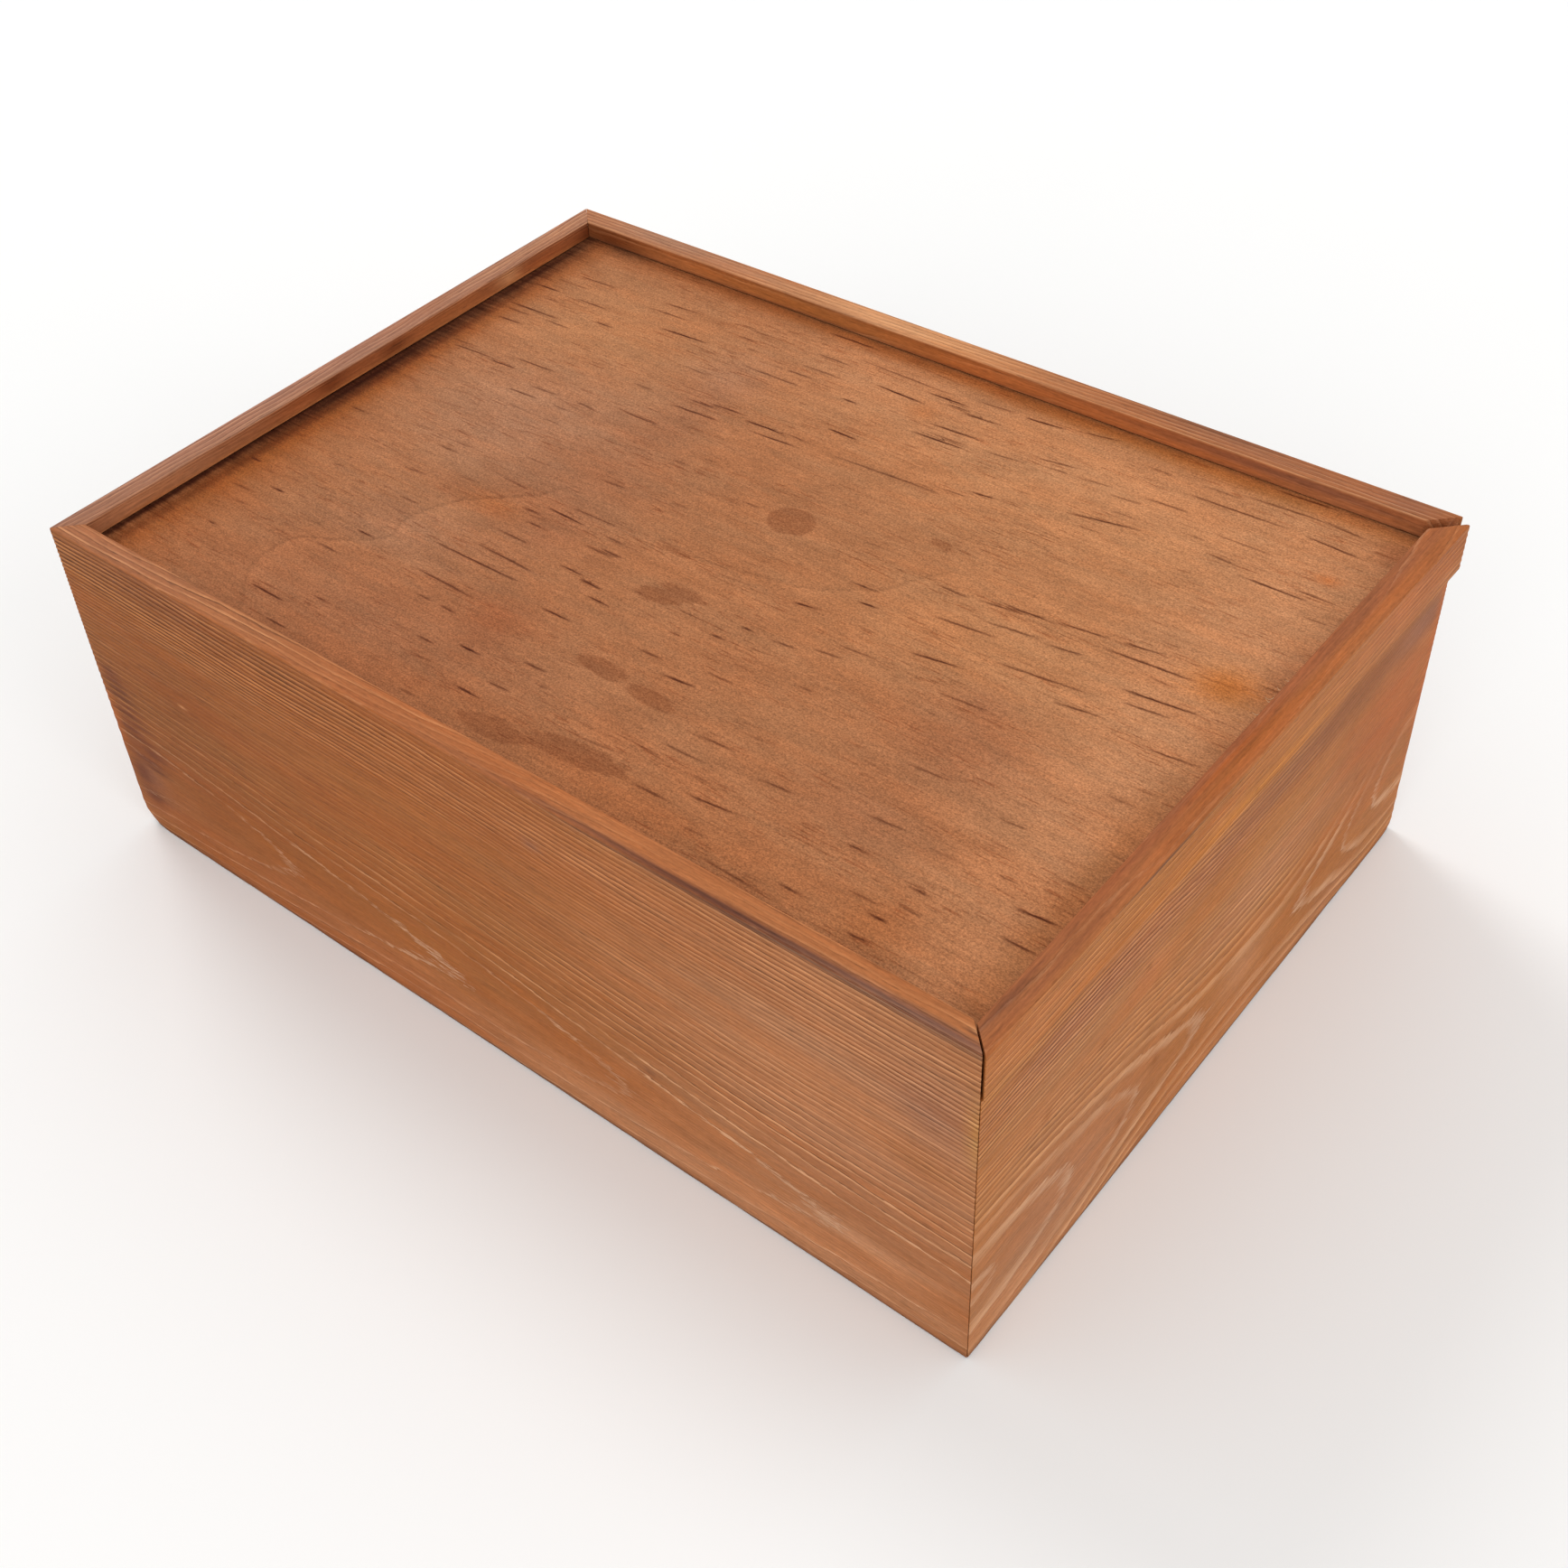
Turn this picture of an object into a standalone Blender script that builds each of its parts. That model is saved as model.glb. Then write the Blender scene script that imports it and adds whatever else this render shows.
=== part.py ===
"""A keepsake box for papers: four mitred softwood walls, a captive bottom and a sliding lid.

The origin is the middle of the box's underside. X runs along the box, towards the end where
the lid slides out, Y runs across it and Z is up. Every length is in metres.
"""

import math

import bmesh
import bpy

# Outside of the box
BOX_LENGTH = 0.350
BOX_WIDTH = 0.2516
BOX_HEIGHT = 0.1284

# Boards and panels
WALL_THICKNESS = 0.0082
LID_THICKNESS = 0.0036
BOTTOM_THICKNESS = 0.0040
EDGE_ROUND = 0.0007
PANEL_EDGE_ROUND = 0.0003
ROUND_STEPS = 4

# Grooves, routed through the whole length of each wall before it is mitred
GROOVE_DEPTH = 0.0042
LIP_HEIGHT = 0.0060
BOTTOM_LIFT = 0.0050

# Fits
JOINT_GAP = 0.0003
LID_HEADROOM = 0.0005
LID_SIDE_PLAY = 0.0005
BOTTOM_PLAY = 0.0004

# Lid rail, whose outer face runs out of square: it stands further out at the far end
RAIL_SKIRT = 0.0060
RAIL_GROOVE_DEPTH = 0.0040
RAIL_NEAR_THICKNESS = 0.0075
RAIL_FAR_THICKNESS = 0.0092
RAIL_NEAR_PROUD = 0.0008
RAIL_FAR_PROUD = 0.0031
RAIL_NEAR_GAP = 0.00095
RAIL_FAR_GAP = 0.0039

# Heights that follow from the sizes above
LID_TOP = BOX_HEIGHT - LIP_HEIGHT - LID_HEADROOM
LID_UNDERSIDE = LID_TOP - LID_THICKNESS
LID_GROOVE_FLOOR = LID_UNDERSIDE - JOINT_GAP
LID_GROOVE_CEILING = BOX_HEIGHT - LIP_HEIGHT
RAIL_UNDERSIDE = LID_GROOVE_FLOOR - RAIL_SKIRT
OPEN_END_HEIGHT = RAIL_UNDERSIDE - JOINT_GAP
BOTTOM_UNDERSIDE = BOTTOM_LIFT + JOINT_GAP
BOTTOM_TOP = BOTTOM_UNDERSIDE + BOTTOM_THICKNESS
BOTTOM_GROOVE_CEILING = BOTTOM_TOP + JOINT_GAP

# Each mitred end is set back along its board by this much, which leaves the joint's gap square to it
MITRE_SETBACK = JOINT_GAP / math.sqrt(2)

# Finishes: sRGB colour, roughness
WALL_STAIN = ("stained_softwood", "A5653D", 0.55)
RAIL_STAIN = ("stained_rail_softwood", "B5733F", 0.5)
LID_VENEER = ("stained_lid_plywood", "B37A4E", 0.6)
BOTTOM_VENEER = ("stained_bottom_plywood", "A8744A", 0.65)


def linear(channel):
    """The linear value of one sRGB channel from 0 to 1."""
    if channel <= 0.04045:
        return channel / 12.92
    return ((channel + 0.055) / 1.055) ** 2.4


def finish(name, hex_colour, roughness):
    """A Principled BSDF of one colour."""
    material = bpy.data.materials.new(name)
    material.use_nodes = True
    shader = material.node_tree.nodes["Principled BSDF"]
    colour = [linear(int(hex_colour[i : i + 2], 16) / 255) for i in (0, 2, 4)]
    shader.inputs["Base Color"].default_value = (*colour, 1)
    shader.inputs["Roughness"].default_value = roughness
    shader.inputs["Metallic"].default_value = 0
    material.diffuse_color = (*colour, 1)
    return material


def add_object(name, mesh, material):
    """A named object that holds the mesh and its finish."""
    mesh.materials.append(material)
    obj = bpy.data.objects.new(name, mesh)
    bpy.context.scene.collection.objects.link(obj)
    return obj


def rounded_corner(corner, towards_start, towards_end, radius):
    """Points of a quarter circle that eases the corner between two square edges.

    towards_start and towards_end are unit steps along the edges, away from the corner.
    """
    centre = [c + radius * (a + b) for c, a, b in zip(corner, towards_start, towards_end)]
    points = []
    for step in range(ROUND_STEPS + 1):
        turn = math.pi / 2 * step / ROUND_STEPS
        points.append(
            tuple(
                c - radius * (b * math.cos(turn) + a * math.sin(turn))
                for c, a, b in zip(centre, towards_start, towards_end)
            )
        )
    return points


def wall_profile(height, has_lid_groove):
    """The wall's cross-section as (depth from the outer face, height) points, in order round it."""
    out, into, down, up = (-1, 0), (1, 0), (0, -1), (0, 1)
    depth = WALL_THICKNESS
    floor_of_groove = depth - GROOVE_DEPTH
    points = rounded_corner((0, 0), up, into, EDGE_ROUND)
    points += rounded_corner((depth, 0), out, up, EDGE_ROUND)
    points += [
        (depth, BOTTOM_LIFT),
        (floor_of_groove, BOTTOM_LIFT),
        (floor_of_groove, BOTTOM_GROOVE_CEILING),
        (depth, BOTTOM_GROOVE_CEILING),
    ]
    if has_lid_groove:
        points += [
            (depth, LID_GROOVE_FLOOR),
            (floor_of_groove, LID_GROOVE_FLOOR),
            (floor_of_groove, LID_GROOVE_CEILING),
            (depth, LID_GROOVE_CEILING),
        ]
    points += rounded_corner((depth, height), down, out, EDGE_ROUND)
    points += rounded_corner((0, height), into, down, EDGE_ROUND)
    return points


def prism(name, first_end, second_end):
    """A closed mesh between two loops of matching points, with its ends filled."""
    count = len(first_end)
    bm = bmesh.new()
    first = [bm.verts.new(point) for point in first_end]
    second = [bm.verts.new(point) for point in second_end]
    for i in range(count):
        j = (i + 1) % count
        bm.faces.new((first[i], first[j], second[j], second[i]))
    bm.faces.new(first)
    bm.faces.new(second)
    bmesh.ops.recalc_face_normals(bm, faces=bm.faces)
    mesh = bpy.data.meshes.new(name)
    bm.to_mesh(mesh)
    bm.free()
    return mesh


def mitred_wall(name, length, height, has_lid_groove, place, turn):
    """A wall along its own X, with its outer face on Y = 0 and both ends mitred at 45 degrees."""
    profile = wall_profile(height, has_lid_groove)
    reach = length / 2 - MITRE_SETBACK
    left = [(depth - reach, depth, z) for depth, z in profile]
    right = [(reach - depth, depth, z) for depth, z in profile]
    wall = add_object(name, prism(name, left, right), finish(*WALL_STAIN))
    wall.location = (*place, 0)
    wall.rotation_euler.z = turn
    return wall


def walls():
    """The four walls. The one at the open end stops below the lid's rail."""
    half_length, half_width = BOX_LENGTH / 2, BOX_WIDTH / 2
    quarter = math.pi / 2
    mitred_wall("near_wall", BOX_LENGTH, BOX_HEIGHT, True, (0, -half_width), 0)
    mitred_wall("far_wall", BOX_LENGTH, BOX_HEIGHT, True, (0, half_width), 2 * quarter)
    mitred_wall("closed_end_wall", BOX_WIDTH, BOX_HEIGHT, True, (-half_length, 0), -quarter)
    mitred_wall("open_end_wall", BOX_WIDTH, OPEN_END_HEIGHT, False, (half_length, 0), quarter)


def panel(name, low, high, material):
    """A rectangular panel between two corners, with eased edges."""
    size = [b - a for a, b in zip(low, high)]
    bm = bmesh.new()
    bmesh.ops.create_cube(bm, size=1)
    bmesh.ops.scale(bm, vec=size, verts=bm.verts)
    mesh = bpy.data.meshes.new(name)
    bm.to_mesh(mesh)
    bm.free()
    obj = add_object(name, mesh, material)
    obj.location = [(a + b) / 2 for a, b in zip(low, high)]
    ease = obj.modifiers.new("eased edges", "BEVEL")
    ease.width = PANEL_EDGE_ROUND
    ease.segments = 2
    return obj


def bottom_panel():
    """The plywood bottom, held in the lower groove of all four walls."""
    half_length = BOX_LENGTH / 2 - WALL_THICKNESS + GROOVE_DEPTH - BOTTOM_PLAY
    half_width = BOX_WIDTH / 2 - WALL_THICKNESS + GROOVE_DEPTH - BOTTOM_PLAY
    low = (-half_length, -half_width, BOTTOM_UNDERSIDE)
    high = (half_length, half_width, BOTTOM_TOP)
    return panel("bottom_panel", low, high, finish(*BOTTOM_VENEER))


def lid_panel():
    """The plywood lid. It runs in the upper grooves and stops at the closed end's groove."""
    shut_end = -BOX_LENGTH / 2 + WALL_THICKNESS - GROOVE_DEPTH + JOINT_GAP
    half_width = BOX_WIDTH / 2 - WALL_THICKNESS + GROOVE_DEPTH - LID_SIDE_PLAY
    near_face = RAIL_NEAR_PROUD - RAIL_NEAR_THICKNESS
    far_face = RAIL_FAR_PROUD - RAIL_FAR_THICKNESS
    rail_end = BOX_LENGTH / 2 + min(near_face, far_face) + RAIL_GROOVE_DEPTH - JOINT_GAP
    low = (shut_end, -half_width, LID_UNDERSIDE)
    high = (rail_end, half_width, LID_TOP)
    return panel("lid_panel", low, high, finish(*LID_VENEER))


def rail_end(proud, thickness, gap, side):
    """The rail's profile at one mitred end. side is -1 at the near end and 1 at the far end.

    Each profile point keeps its depth from the outer or the inner face, and its Y follows from
    X on a plane at 45 degrees, which lies the gap away from the wall's own mitre.
    """
    out, into, down, up = (-1, 0), (1, 0), (0, -1), (0, 1)
    groove_end = thickness - RAIL_GROOVE_DEPTH
    points = rounded_corner((0, RAIL_UNDERSIDE), up, into, EDGE_ROUND)
    points += rounded_corner((thickness, RAIL_UNDERSIDE), out, up, EDGE_ROUND)
    points += [
        (thickness, LID_UNDERSIDE - JOINT_GAP),
        (groove_end, LID_UNDERSIDE - JOINT_GAP),
        (groove_end, LID_TOP + JOINT_GAP),
        (thickness, LID_TOP + JOINT_GAP),
    ]
    points += rounded_corner((thickness, BOX_HEIGHT), down, out, EDGE_ROUND)
    points += rounded_corner((0, BOX_HEIGHT), into, down, EDGE_ROUND)
    placed = []
    for depth, z in points:
        past_wall = proud - depth
        from_side = gap * math.sqrt(2) - past_wall
        placed.append((BOX_LENGTH / 2 + past_wall, side * (BOX_WIDTH / 2 - from_side), z))
    return placed


def lid_rail():
    """The strip of the end wall that is fixed to the lid and slides out with it."""
    near = rail_end(RAIL_NEAR_PROUD, RAIL_NEAR_THICKNESS, RAIL_NEAR_GAP, -1)
    far = rail_end(RAIL_FAR_PROUD, RAIL_FAR_THICKNESS, RAIL_FAR_GAP, 1)
    return add_object("lid_rail", prism("lid_rail", near, far), finish(*RAIL_STAIN))


def lid():
    """The panel and its rail, carried by an empty on the line that they slide along."""
    slide = bpy.data.objects.new("lid_slide", None)
    bpy.context.scene.collection.objects.link(slide)
    slide.location = (0, 0, LID_UNDERSIDE)
    bpy.context.view_layer.update()
    for piece in (lid_panel(), lid_rail()):
        piece.parent = slide
        piece.matrix_parent_inverse = slide.matrix_world.inverted()


def clear_scene():
    for obj in list(bpy.data.objects):
        bpy.data.objects.remove(obj, do_unlink=True)


def main():
    clear_scene()
    walls()
    bottom_panel()
    lid()


main()
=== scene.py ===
"""The finish of a keepsake box for papers: brushed softwood boards, a plywood lid and its rail.

It is laid out as an add-on and run as a script. Lengths are in metres, in the frame of the packed
model: X runs along the box towards the end where the lid slides out, Y runs across it, Z is up.
Each new piece is a surface worked out with numpy: an outline carried along the piece.
"""

import math
from collections import namedtuple

import bpy
import numpy as np
from mathutils import Euler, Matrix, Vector


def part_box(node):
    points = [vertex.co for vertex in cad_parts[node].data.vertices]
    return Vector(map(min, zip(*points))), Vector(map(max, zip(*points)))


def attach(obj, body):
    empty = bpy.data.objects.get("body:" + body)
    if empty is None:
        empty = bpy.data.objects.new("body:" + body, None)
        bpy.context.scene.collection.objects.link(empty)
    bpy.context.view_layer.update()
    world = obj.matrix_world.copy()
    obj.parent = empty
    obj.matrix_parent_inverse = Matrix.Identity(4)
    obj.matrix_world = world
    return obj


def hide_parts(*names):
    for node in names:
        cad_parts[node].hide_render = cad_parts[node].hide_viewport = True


bl_info = {
    "name": "Keepsake box finish",
    "version": (1, 0, 0),
    "blender": (4, 5, 0),
    "location": "View3D > Sidebar > Keepsake box",
    "description": "Dresses a keepsake box in brushed softwood and stained plywood",
    "category": "Object",
}

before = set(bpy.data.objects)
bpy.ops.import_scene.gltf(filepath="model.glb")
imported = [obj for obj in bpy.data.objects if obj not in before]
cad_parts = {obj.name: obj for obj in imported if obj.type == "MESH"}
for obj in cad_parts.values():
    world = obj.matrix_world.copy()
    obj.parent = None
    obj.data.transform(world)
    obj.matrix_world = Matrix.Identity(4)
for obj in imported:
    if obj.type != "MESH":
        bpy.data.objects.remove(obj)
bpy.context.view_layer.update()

MM = 0.001
NEAR_LOW, NEAR_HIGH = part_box("near_wall")
FAR_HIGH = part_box("far_wall")[1]
OPEN_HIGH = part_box("open_end_wall")[1]
LID_LOW, LID_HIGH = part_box("lid_panel")
RAIL_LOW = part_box("lid_rail")[0]
BOTTOM_LOW, BOTTOM_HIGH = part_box("bottom_panel")

HALF_LENGTH = OPEN_HIGH.x
HALF_WIDTH = FAR_HIGH.y
BOX_HEIGHT = NEAR_HIGH.z
WALL_THICKNESS = NEAR_HIGH.y - NEAR_LOW.y

# Fits inside the walls, as the solids have them
PANEL_GAP = 0.3 * MM
LID_HEADROOM = 0.5 * MM
GROOVE_DEPTH = 4.2 * MM
LIP_UNDERSIDE = LID_HIGH.z + LID_HEADROOM
LID_GROOVE_FLOOR = LID_LOW.z - PANEL_GAP
BOTTOM_GROOVE_FLOOR = BOTTOM_LOW.z - PANEL_GAP
BOTTOM_GROOVE_CEILING = BOTTOM_HIGH.z + PANEL_GAP

# The rail runs out of square: (thickness, how far it stands proud, gap in the mitre) at each end
RAIL_NEAR = (7.5 * MM, 0.8 * MM, 0.6 * MM)
RAIL_FAR = (9.2 * MM, 3.1 * MM, 3.9 * MM)
RAIL_GROOVE_DEPTH = 4.0 * MM
RAIL_FOOT_ROUND = 0.2 * MM
RAIL_TOP_ROUNDING = 1.3

# Spacing of the grids: fine across the grain, coarse along it
BRUSHED_STEP = 0.2 * MM
RIM_STEP = 0.25 * MM
LIP_STEP = 0.5 * MM
PLAIN_STEP = 4.0 * MM
GROOVE_STEP = 1.4 * MM
ROUND_STEPS = 4
STATION_STEP = 3.0 * MM
END_STEPS = np.array([0.0, 0.12, 0.3, 0.6, 1.2, 2.2]) * MM
VENEER_STEP = 0.55 * MM
VENEER_STATION_STEP = 2.6 * MM
BOTTOM_STEP = 1.1 * MM

SMOOTH_ANGLE = math.radians(60)

# A point attribute's type and field, by how many numbers it holds
ATTRIBUTE_KINDS = {1: ("FLOAT", "value"), 3: ("FLOAT_VECTOR", "vector"), 4: ("FLOAT_COLOR", "color")}

# Smooth random waves: how far they swing, their length along and across the grain, and their seed
Waves = namedtuple("Waves", "size run breadth seed")
WAVE_COUNT = 10
GRAIN_SWELL = Waves(0.45 * MM, 90 * MM, 22 * MM, 0)
GRAIN_RIPPLE = Waves(0.1 * MM, 18 * MM, 5 * MM, 1)
TORN_FOOT = Waves(0.28 * MM, 9 * MM, 30 * MM, 3)
STAIN_EDGE = Waves(0.35, 25 * MM, 1.6 * MM, 5)
BROAD_MOTTLE = Waves(0.05, 45 * MM, 14 * MM, 7)
FINE_MOTTLE = Waves(0.035, 60 * MM, 2.5 * MM, 8)
LINE_PATCHES = Waves(0.12, 70 * MM, 12 * MM, 11)
VENEER_SWELL = Waves(1, 60 * MM, 35 * MM, 21)
VENEER_CLOUDS = Waves(0.05, 38 * MM, 13 * MM, 41)
VENEER_STREAKS = Waves(0.03, 30 * MM, 3 * MM, 42)
VENEER_STAIN_SEED = 26

# Zones of a board that fade in, from one distance to another: below its top, or into its depth
RIM_STAIN = (0.7 * MM, 0.1 * MM)
RIM_SKIN = (0.6 * MM, 0.1 * MM)
CALM_EDGE = (3 * MM, 0.8 * MM)
OUTER_SKIN = (0.1 * MM, 1.0 * MM)
INNER_STAIN = (0.35 * WALL_THICKNESS, 0.75 * WALL_THICKNESS)

# The brushed relief: its crest in a ring, and the shares that it keeps on the rim and loses near it
CREST_PLACE = 0.88
CREST_SHARPNESS = 1.4
RIM_BRUSHING = 0.5
EDGE_CALM = 0.75
STEEP_RINGS = 0.22
TORN_HEIGHT = 1.2 * MM
WEAR_SOFTNESS = 0.45
WEAR_END = 2.4

# The painted grain lines: how plainly they show, and their widths as shares of a ring
LINE_WEIGHT = 0.62
LINE_WEIGHT_LIMITS = (0.05, 1.3)
FEWEST_RINGS = 1 / 40 / MM
LATE_LIMITS = (0.06, 0.4)
SHADE_WIDTH = 0.38 * MM
SHADE_LIMITS = (0.005, 0.3)
WIDE_RING_FADE = 9

# How far a painted line lies before its crest, in rings: always, beside a narrow step and in wide rings
LEAD = 0.17
STEP_LEAD = 0.35 * MM
STEP_LEAD_LIMIT = 0.2
WIDE_LEAD = 0.2

# The panels: waves, edges, finer stations at the shut end, pores, and the fainter ones strewn about
VENEER_WAVE_DEPTH = 0.05 * MM
PANEL_EDGE = 0.3 * MM
PANEL_TOP = (0.2 * MM, 0.05 * MM)
FINE_ENDS = 20 * MM
PORE_HALF_WIDTH = 0.35 * MM
FAR_FROM_PORES = 5.0 * MM
FAR_FROM_MARKS = 50 * MM
FIGURE_CUTS = 12
PORES_PER_CLUSTER = 6
CLUSTER_SPREAD = (16 * MM, 8 * MM)
STREWN_LENGTHS = (3, 10)
STREWN_RISE = (0.03, 0.03)
STREWN_DARKNESS = (0.15, 0.5)
PORE_CLEARANCE = (8 * MM, 4.6 * MM)

# Wear at the corner beyond the open end, and how far a fibre's foot sits in the rail
FAR_WEAR = 0.5
LINT_INSET = 0.1 * MM

# The stage. The camera's place, turns in degrees and shift were solved from the photograph's corners
HALF_FLOOR = 6.0
SENSOR_WIDTH = 36.0
CAMERA_PLACE = (0.3246, -0.3700, 0.48397)
CAMERA_TURNS = (47.681, 3.4347, 39.6736)
CAMERA_SHIFT = (0.0485, -0.0237)
CAMERA_CLIP = (0.01, 30.0)


class BoxSizes(bpy.types.PropertyGroup):
    """Sizes of the wood's surface and of its wear."""

    brush_depth: bpy.props.FloatProperty(
        name="Brushing", description="Depth of the wire-brushed grain", default=0.14 * MM, unit="LENGTH"
    )
    edge_round: bpy.props.FloatProperty(
        name="Edge", description="Radius of the boards' long edges", default=0.45 * MM, unit="LENGTH"
    )
    arris_round: bpy.props.FloatProperty(
        name="Arris", description="Radius of the upright mitred corners", default=0.3 * MM, unit="LENGTH"
    )
    mitre_gap: bpy.props.FloatProperty(
        name="Mitre", description="Open glue line in the mitres", default=0.12 * MM, unit="LENGTH"
    )
    corner_wear: bpy.props.FloatProperty(
        name="Corner wear", description="Reach of the worn bottom corners", default=4.4 * MM, unit="LENGTH"
    )
    pore_depth: bpy.props.FloatProperty(
        name="Pores", description="Depth of the lid's open pores", default=0.06 * MM, unit="LENGTH"
    )
    lint: bpy.props.FloatProperty(
        name="Lint", description="Thickness of a loose fibre, thicker than real so that it shows",
        default=0.2 * MM, unit="LENGTH"
    )


class BoxColours(bpy.types.PropertyGroup):
    """Colours of the woods, as sRGB hex values."""

    pale_line: bpy.props.StringProperty(
        name="Latewood", description="Tint of the hard, pale grain lines", default="E8B88C"
    )
    wide_line: bpy.props.StringProperty(
        name="Wide latewood", description="Tint of the broad, dusty bands of late wood", default="C69A7A"
    )
    pore: bpy.props.StringProperty(
        name="Pores", description="Colour inside the lid's open pores", default="44180A"
    )
    water_mark: bpy.props.StringProperty(
        name="Water marks", description="Colour of the lid's dark spots", default="784022"
    )
    torn_wood: bpy.props.StringProperty(
        name="Torn wood", description="Colour of torn fibres", default="D8B58E"
    )
    backdrop: bpy.props.StringProperty(
        name="Backdrop", description="Colour of the studio floor", default="F8F8F7"
    )


class BoxStage(bpy.types.PropertyGroup):
    """Light and camera."""

    sky: bpy.props.FloatProperty(name="Sky", description="Strength of the white room", default=0.8)
    key: bpy.props.FloatProperty(
        name="Key", default=0.72,
        description="Strength of the light beyond the closed end, in watts per square metre",
    )
    front: bpy.props.FloatProperty(
        name="Front", default=0.52,
        description="Strength of the light before the near wall, in watts per square metre",
    )
    side: bpy.props.FloatProperty(
        name="Side", default=0.46,
        description="Strength of the light before the open end, in watts per square metre",
    )
    lens: bpy.props.FloatProperty(name="Lens", description="Focal length in millimetres", default=45.579)


# Shapes worked out with numpy


def eased(value, low, high):
    """0 below low and 1 above high, with a smooth rise of 3 t squared minus 2 t cubed between."""
    t = np.clip((value - low) / (high - low), 0, 1)
    return t * t * (3 - 2 * t)


def through(x, places, values):
    """A smooth curve through (place, value) pairs.

    Between two places it is the cubic that has each one's value and the slope of the values round
    it, and beyond the last place the value stays.
    """
    places, values = np.array(places, float), np.array(values, float)
    slopes = np.gradient(values, places)
    x = np.clip(x, places[0], places[-1])
    i = np.clip(np.searchsorted(places, x) - 1, 0, len(places) - 2)
    span = places[i + 1] - places[i]
    t = (x - places[i]) / span
    start = (1 + 2 * t) * (1 - t) ** 2 * values[i] + t * (1 - t) ** 2 * span * slopes[i]
    end = t * t * (3 - 2 * t) * values[i + 1] + t * t * (t - 1) * span * slopes[i + 1]
    return start + end


def wander(waves, along, across, seed=0):
    """A smooth random field, mostly from minus to plus its waves' size.

    It is a sum of cosines whose wavelengths scatter round the waves' run along the grain and round
    their breadth across it, each with its own phase.
    """
    rng = np.random.default_rng(waves.seed + seed)
    total = 0
    for _ in range(WAVE_COUNT):
        turns_along, turns_across = rng.normal(0, 1, 2)
        phase = rng.uniform(0, math.tau)
        turns = turns_along * along / waves.run + turns_across * across / waves.breadth
        total = total + np.cos(math.tau * turns + phase)
    return waves.size * (total / math.sqrt(2 * WAVE_COUNT))


def outline(corners, steps, radii):
    """A closed outline of (depth, height) points with rounded right-angled corners.

    Each corner is a quarter circle of its radius, and the side after it is cut evenly into
    lengths of about its step.
    """
    corners = np.array(corners, float)
    points = []
    for i, corner in enumerate(corners):
        before, after = corners[i - 1] - corner, corners[(i + 1) % len(corners)] - corner
        before, after = before / np.linalg.norm(before), after / np.linalg.norm(after)
        centre = corner + radii[i] * (before + after)
        turn = np.linspace(0, math.pi / 2, ROUND_STEPS + 1 if radii[i] else 1)[:, None]
        points.append(centre - radii[i] * (after * np.cos(turn) + before * np.sin(turn)))
    rings = []
    for i, arc in enumerate(points):
        start, end = arc[-1], points[(i + 1) % len(points)][0]
        cuts = max(1, round(np.linalg.norm(end - start) / steps[i]))
        share = np.linspace(0, 1, cuts + 1)[1:-1, None]
        rings += [arc, start + (end - start) * share]
    return np.concatenate(rings)


def board_outline(thickness, bottom, top, groove_depth, grooves, radii):
    """A board's outline: outer face at depth 0, grooves cut into the inner face.

    grooves holds (floor, ceiling, spacing above it), and radii those of the outer and the inner
    bottom edge, then of the inner and the outer top edge.
    """
    corners, steps = [(0, bottom), (thickness, bottom)], [GROOVE_STEP] * 2
    for floor, ceiling, step_above in grooves:
        inner, deep = thickness, thickness - groove_depth
        corners += [(inner, floor), (deep, floor), (deep, ceiling), (inner, ceiling)]
        steps += [GROOVE_STEP] * 3 + [step_above]
    corners += [(thickness, top), (0, top)]
    steps += [RIM_STEP, BRUSHED_STEP]
    return outline(corners, steps, [*radii[:2], *[0.0] * 4 * len(grooves), *radii[2:]])


def stations(length, step):
    """Shares from 0 to 1 along a piece, closer together near its two ends."""
    ends = END_STEPS / length
    middle = np.linspace(ends[-1], 1 - ends[-1], max(2, round(length / step)))
    return np.concatenate([ends[:-1], middle, 1 - ends[-2::-1]])


def carried(name, loops, attributes=()):
    """A closed mesh from an outline carried along a path, as an array of loops by points by 3.

    Neighbouring points of neighbouring loops make a quad, and each end is one face. The faces are
    turned round if the volume that they enclose, by the divergence sum, comes out negative.
    """
    count, size, _ = loops.shape
    points = loops.reshape(-1, 3)
    row, column = np.arange(count - 1)[:, None] * size, np.arange(size)[None, :]
    following = (column + 1) % size
    quads = np.stack([row + column, row + following, row + size + following, row + size + column], -1)
    quads = quads.reshape(-1, 4)
    a, b, c, d = (points[quads[:, k]] for k in range(4))
    volume = np.einsum("ij,ij->", a, np.cross(b, c)) + np.einsum("ij,ij->", a, np.cross(c, d))
    first, last = np.arange(size)[::-1], np.arange(size) + (count - 1) * size
    for end in (first, last):
        fan = points[end]
        volume += np.einsum("ij,ij->", np.broadcast_to(fan[0], fan[1:-1].shape), np.cross(fan[1:-1], fan[2:]))
    faces = quads.tolist() + [first.tolist(), last.tolist()]
    if volume < 0:
        faces = [face[::-1] for face in faces]
    mesh = bpy.data.meshes.new(name)
    mesh.from_pydata(points.tolist(), [], faces)
    mesh.update()
    mesh.shade_smooth()
    mesh.set_sharp_from_angle(angle=SMOOTH_ANGLE)
    for label, values in dict(attributes).items():
        values = np.asarray(values, np.float32)
        kind, field = ATTRIBUTE_KINDS[values.reshape(len(points), -1).shape[1]]
        mesh.attributes.new(label, kind, "POINT").data.foreach_set(field, values.ravel())
    piece = bpy.data.objects.new(name, mesh)
    bpy.context.scene.collection.objects.link(piece)
    return piece


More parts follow.
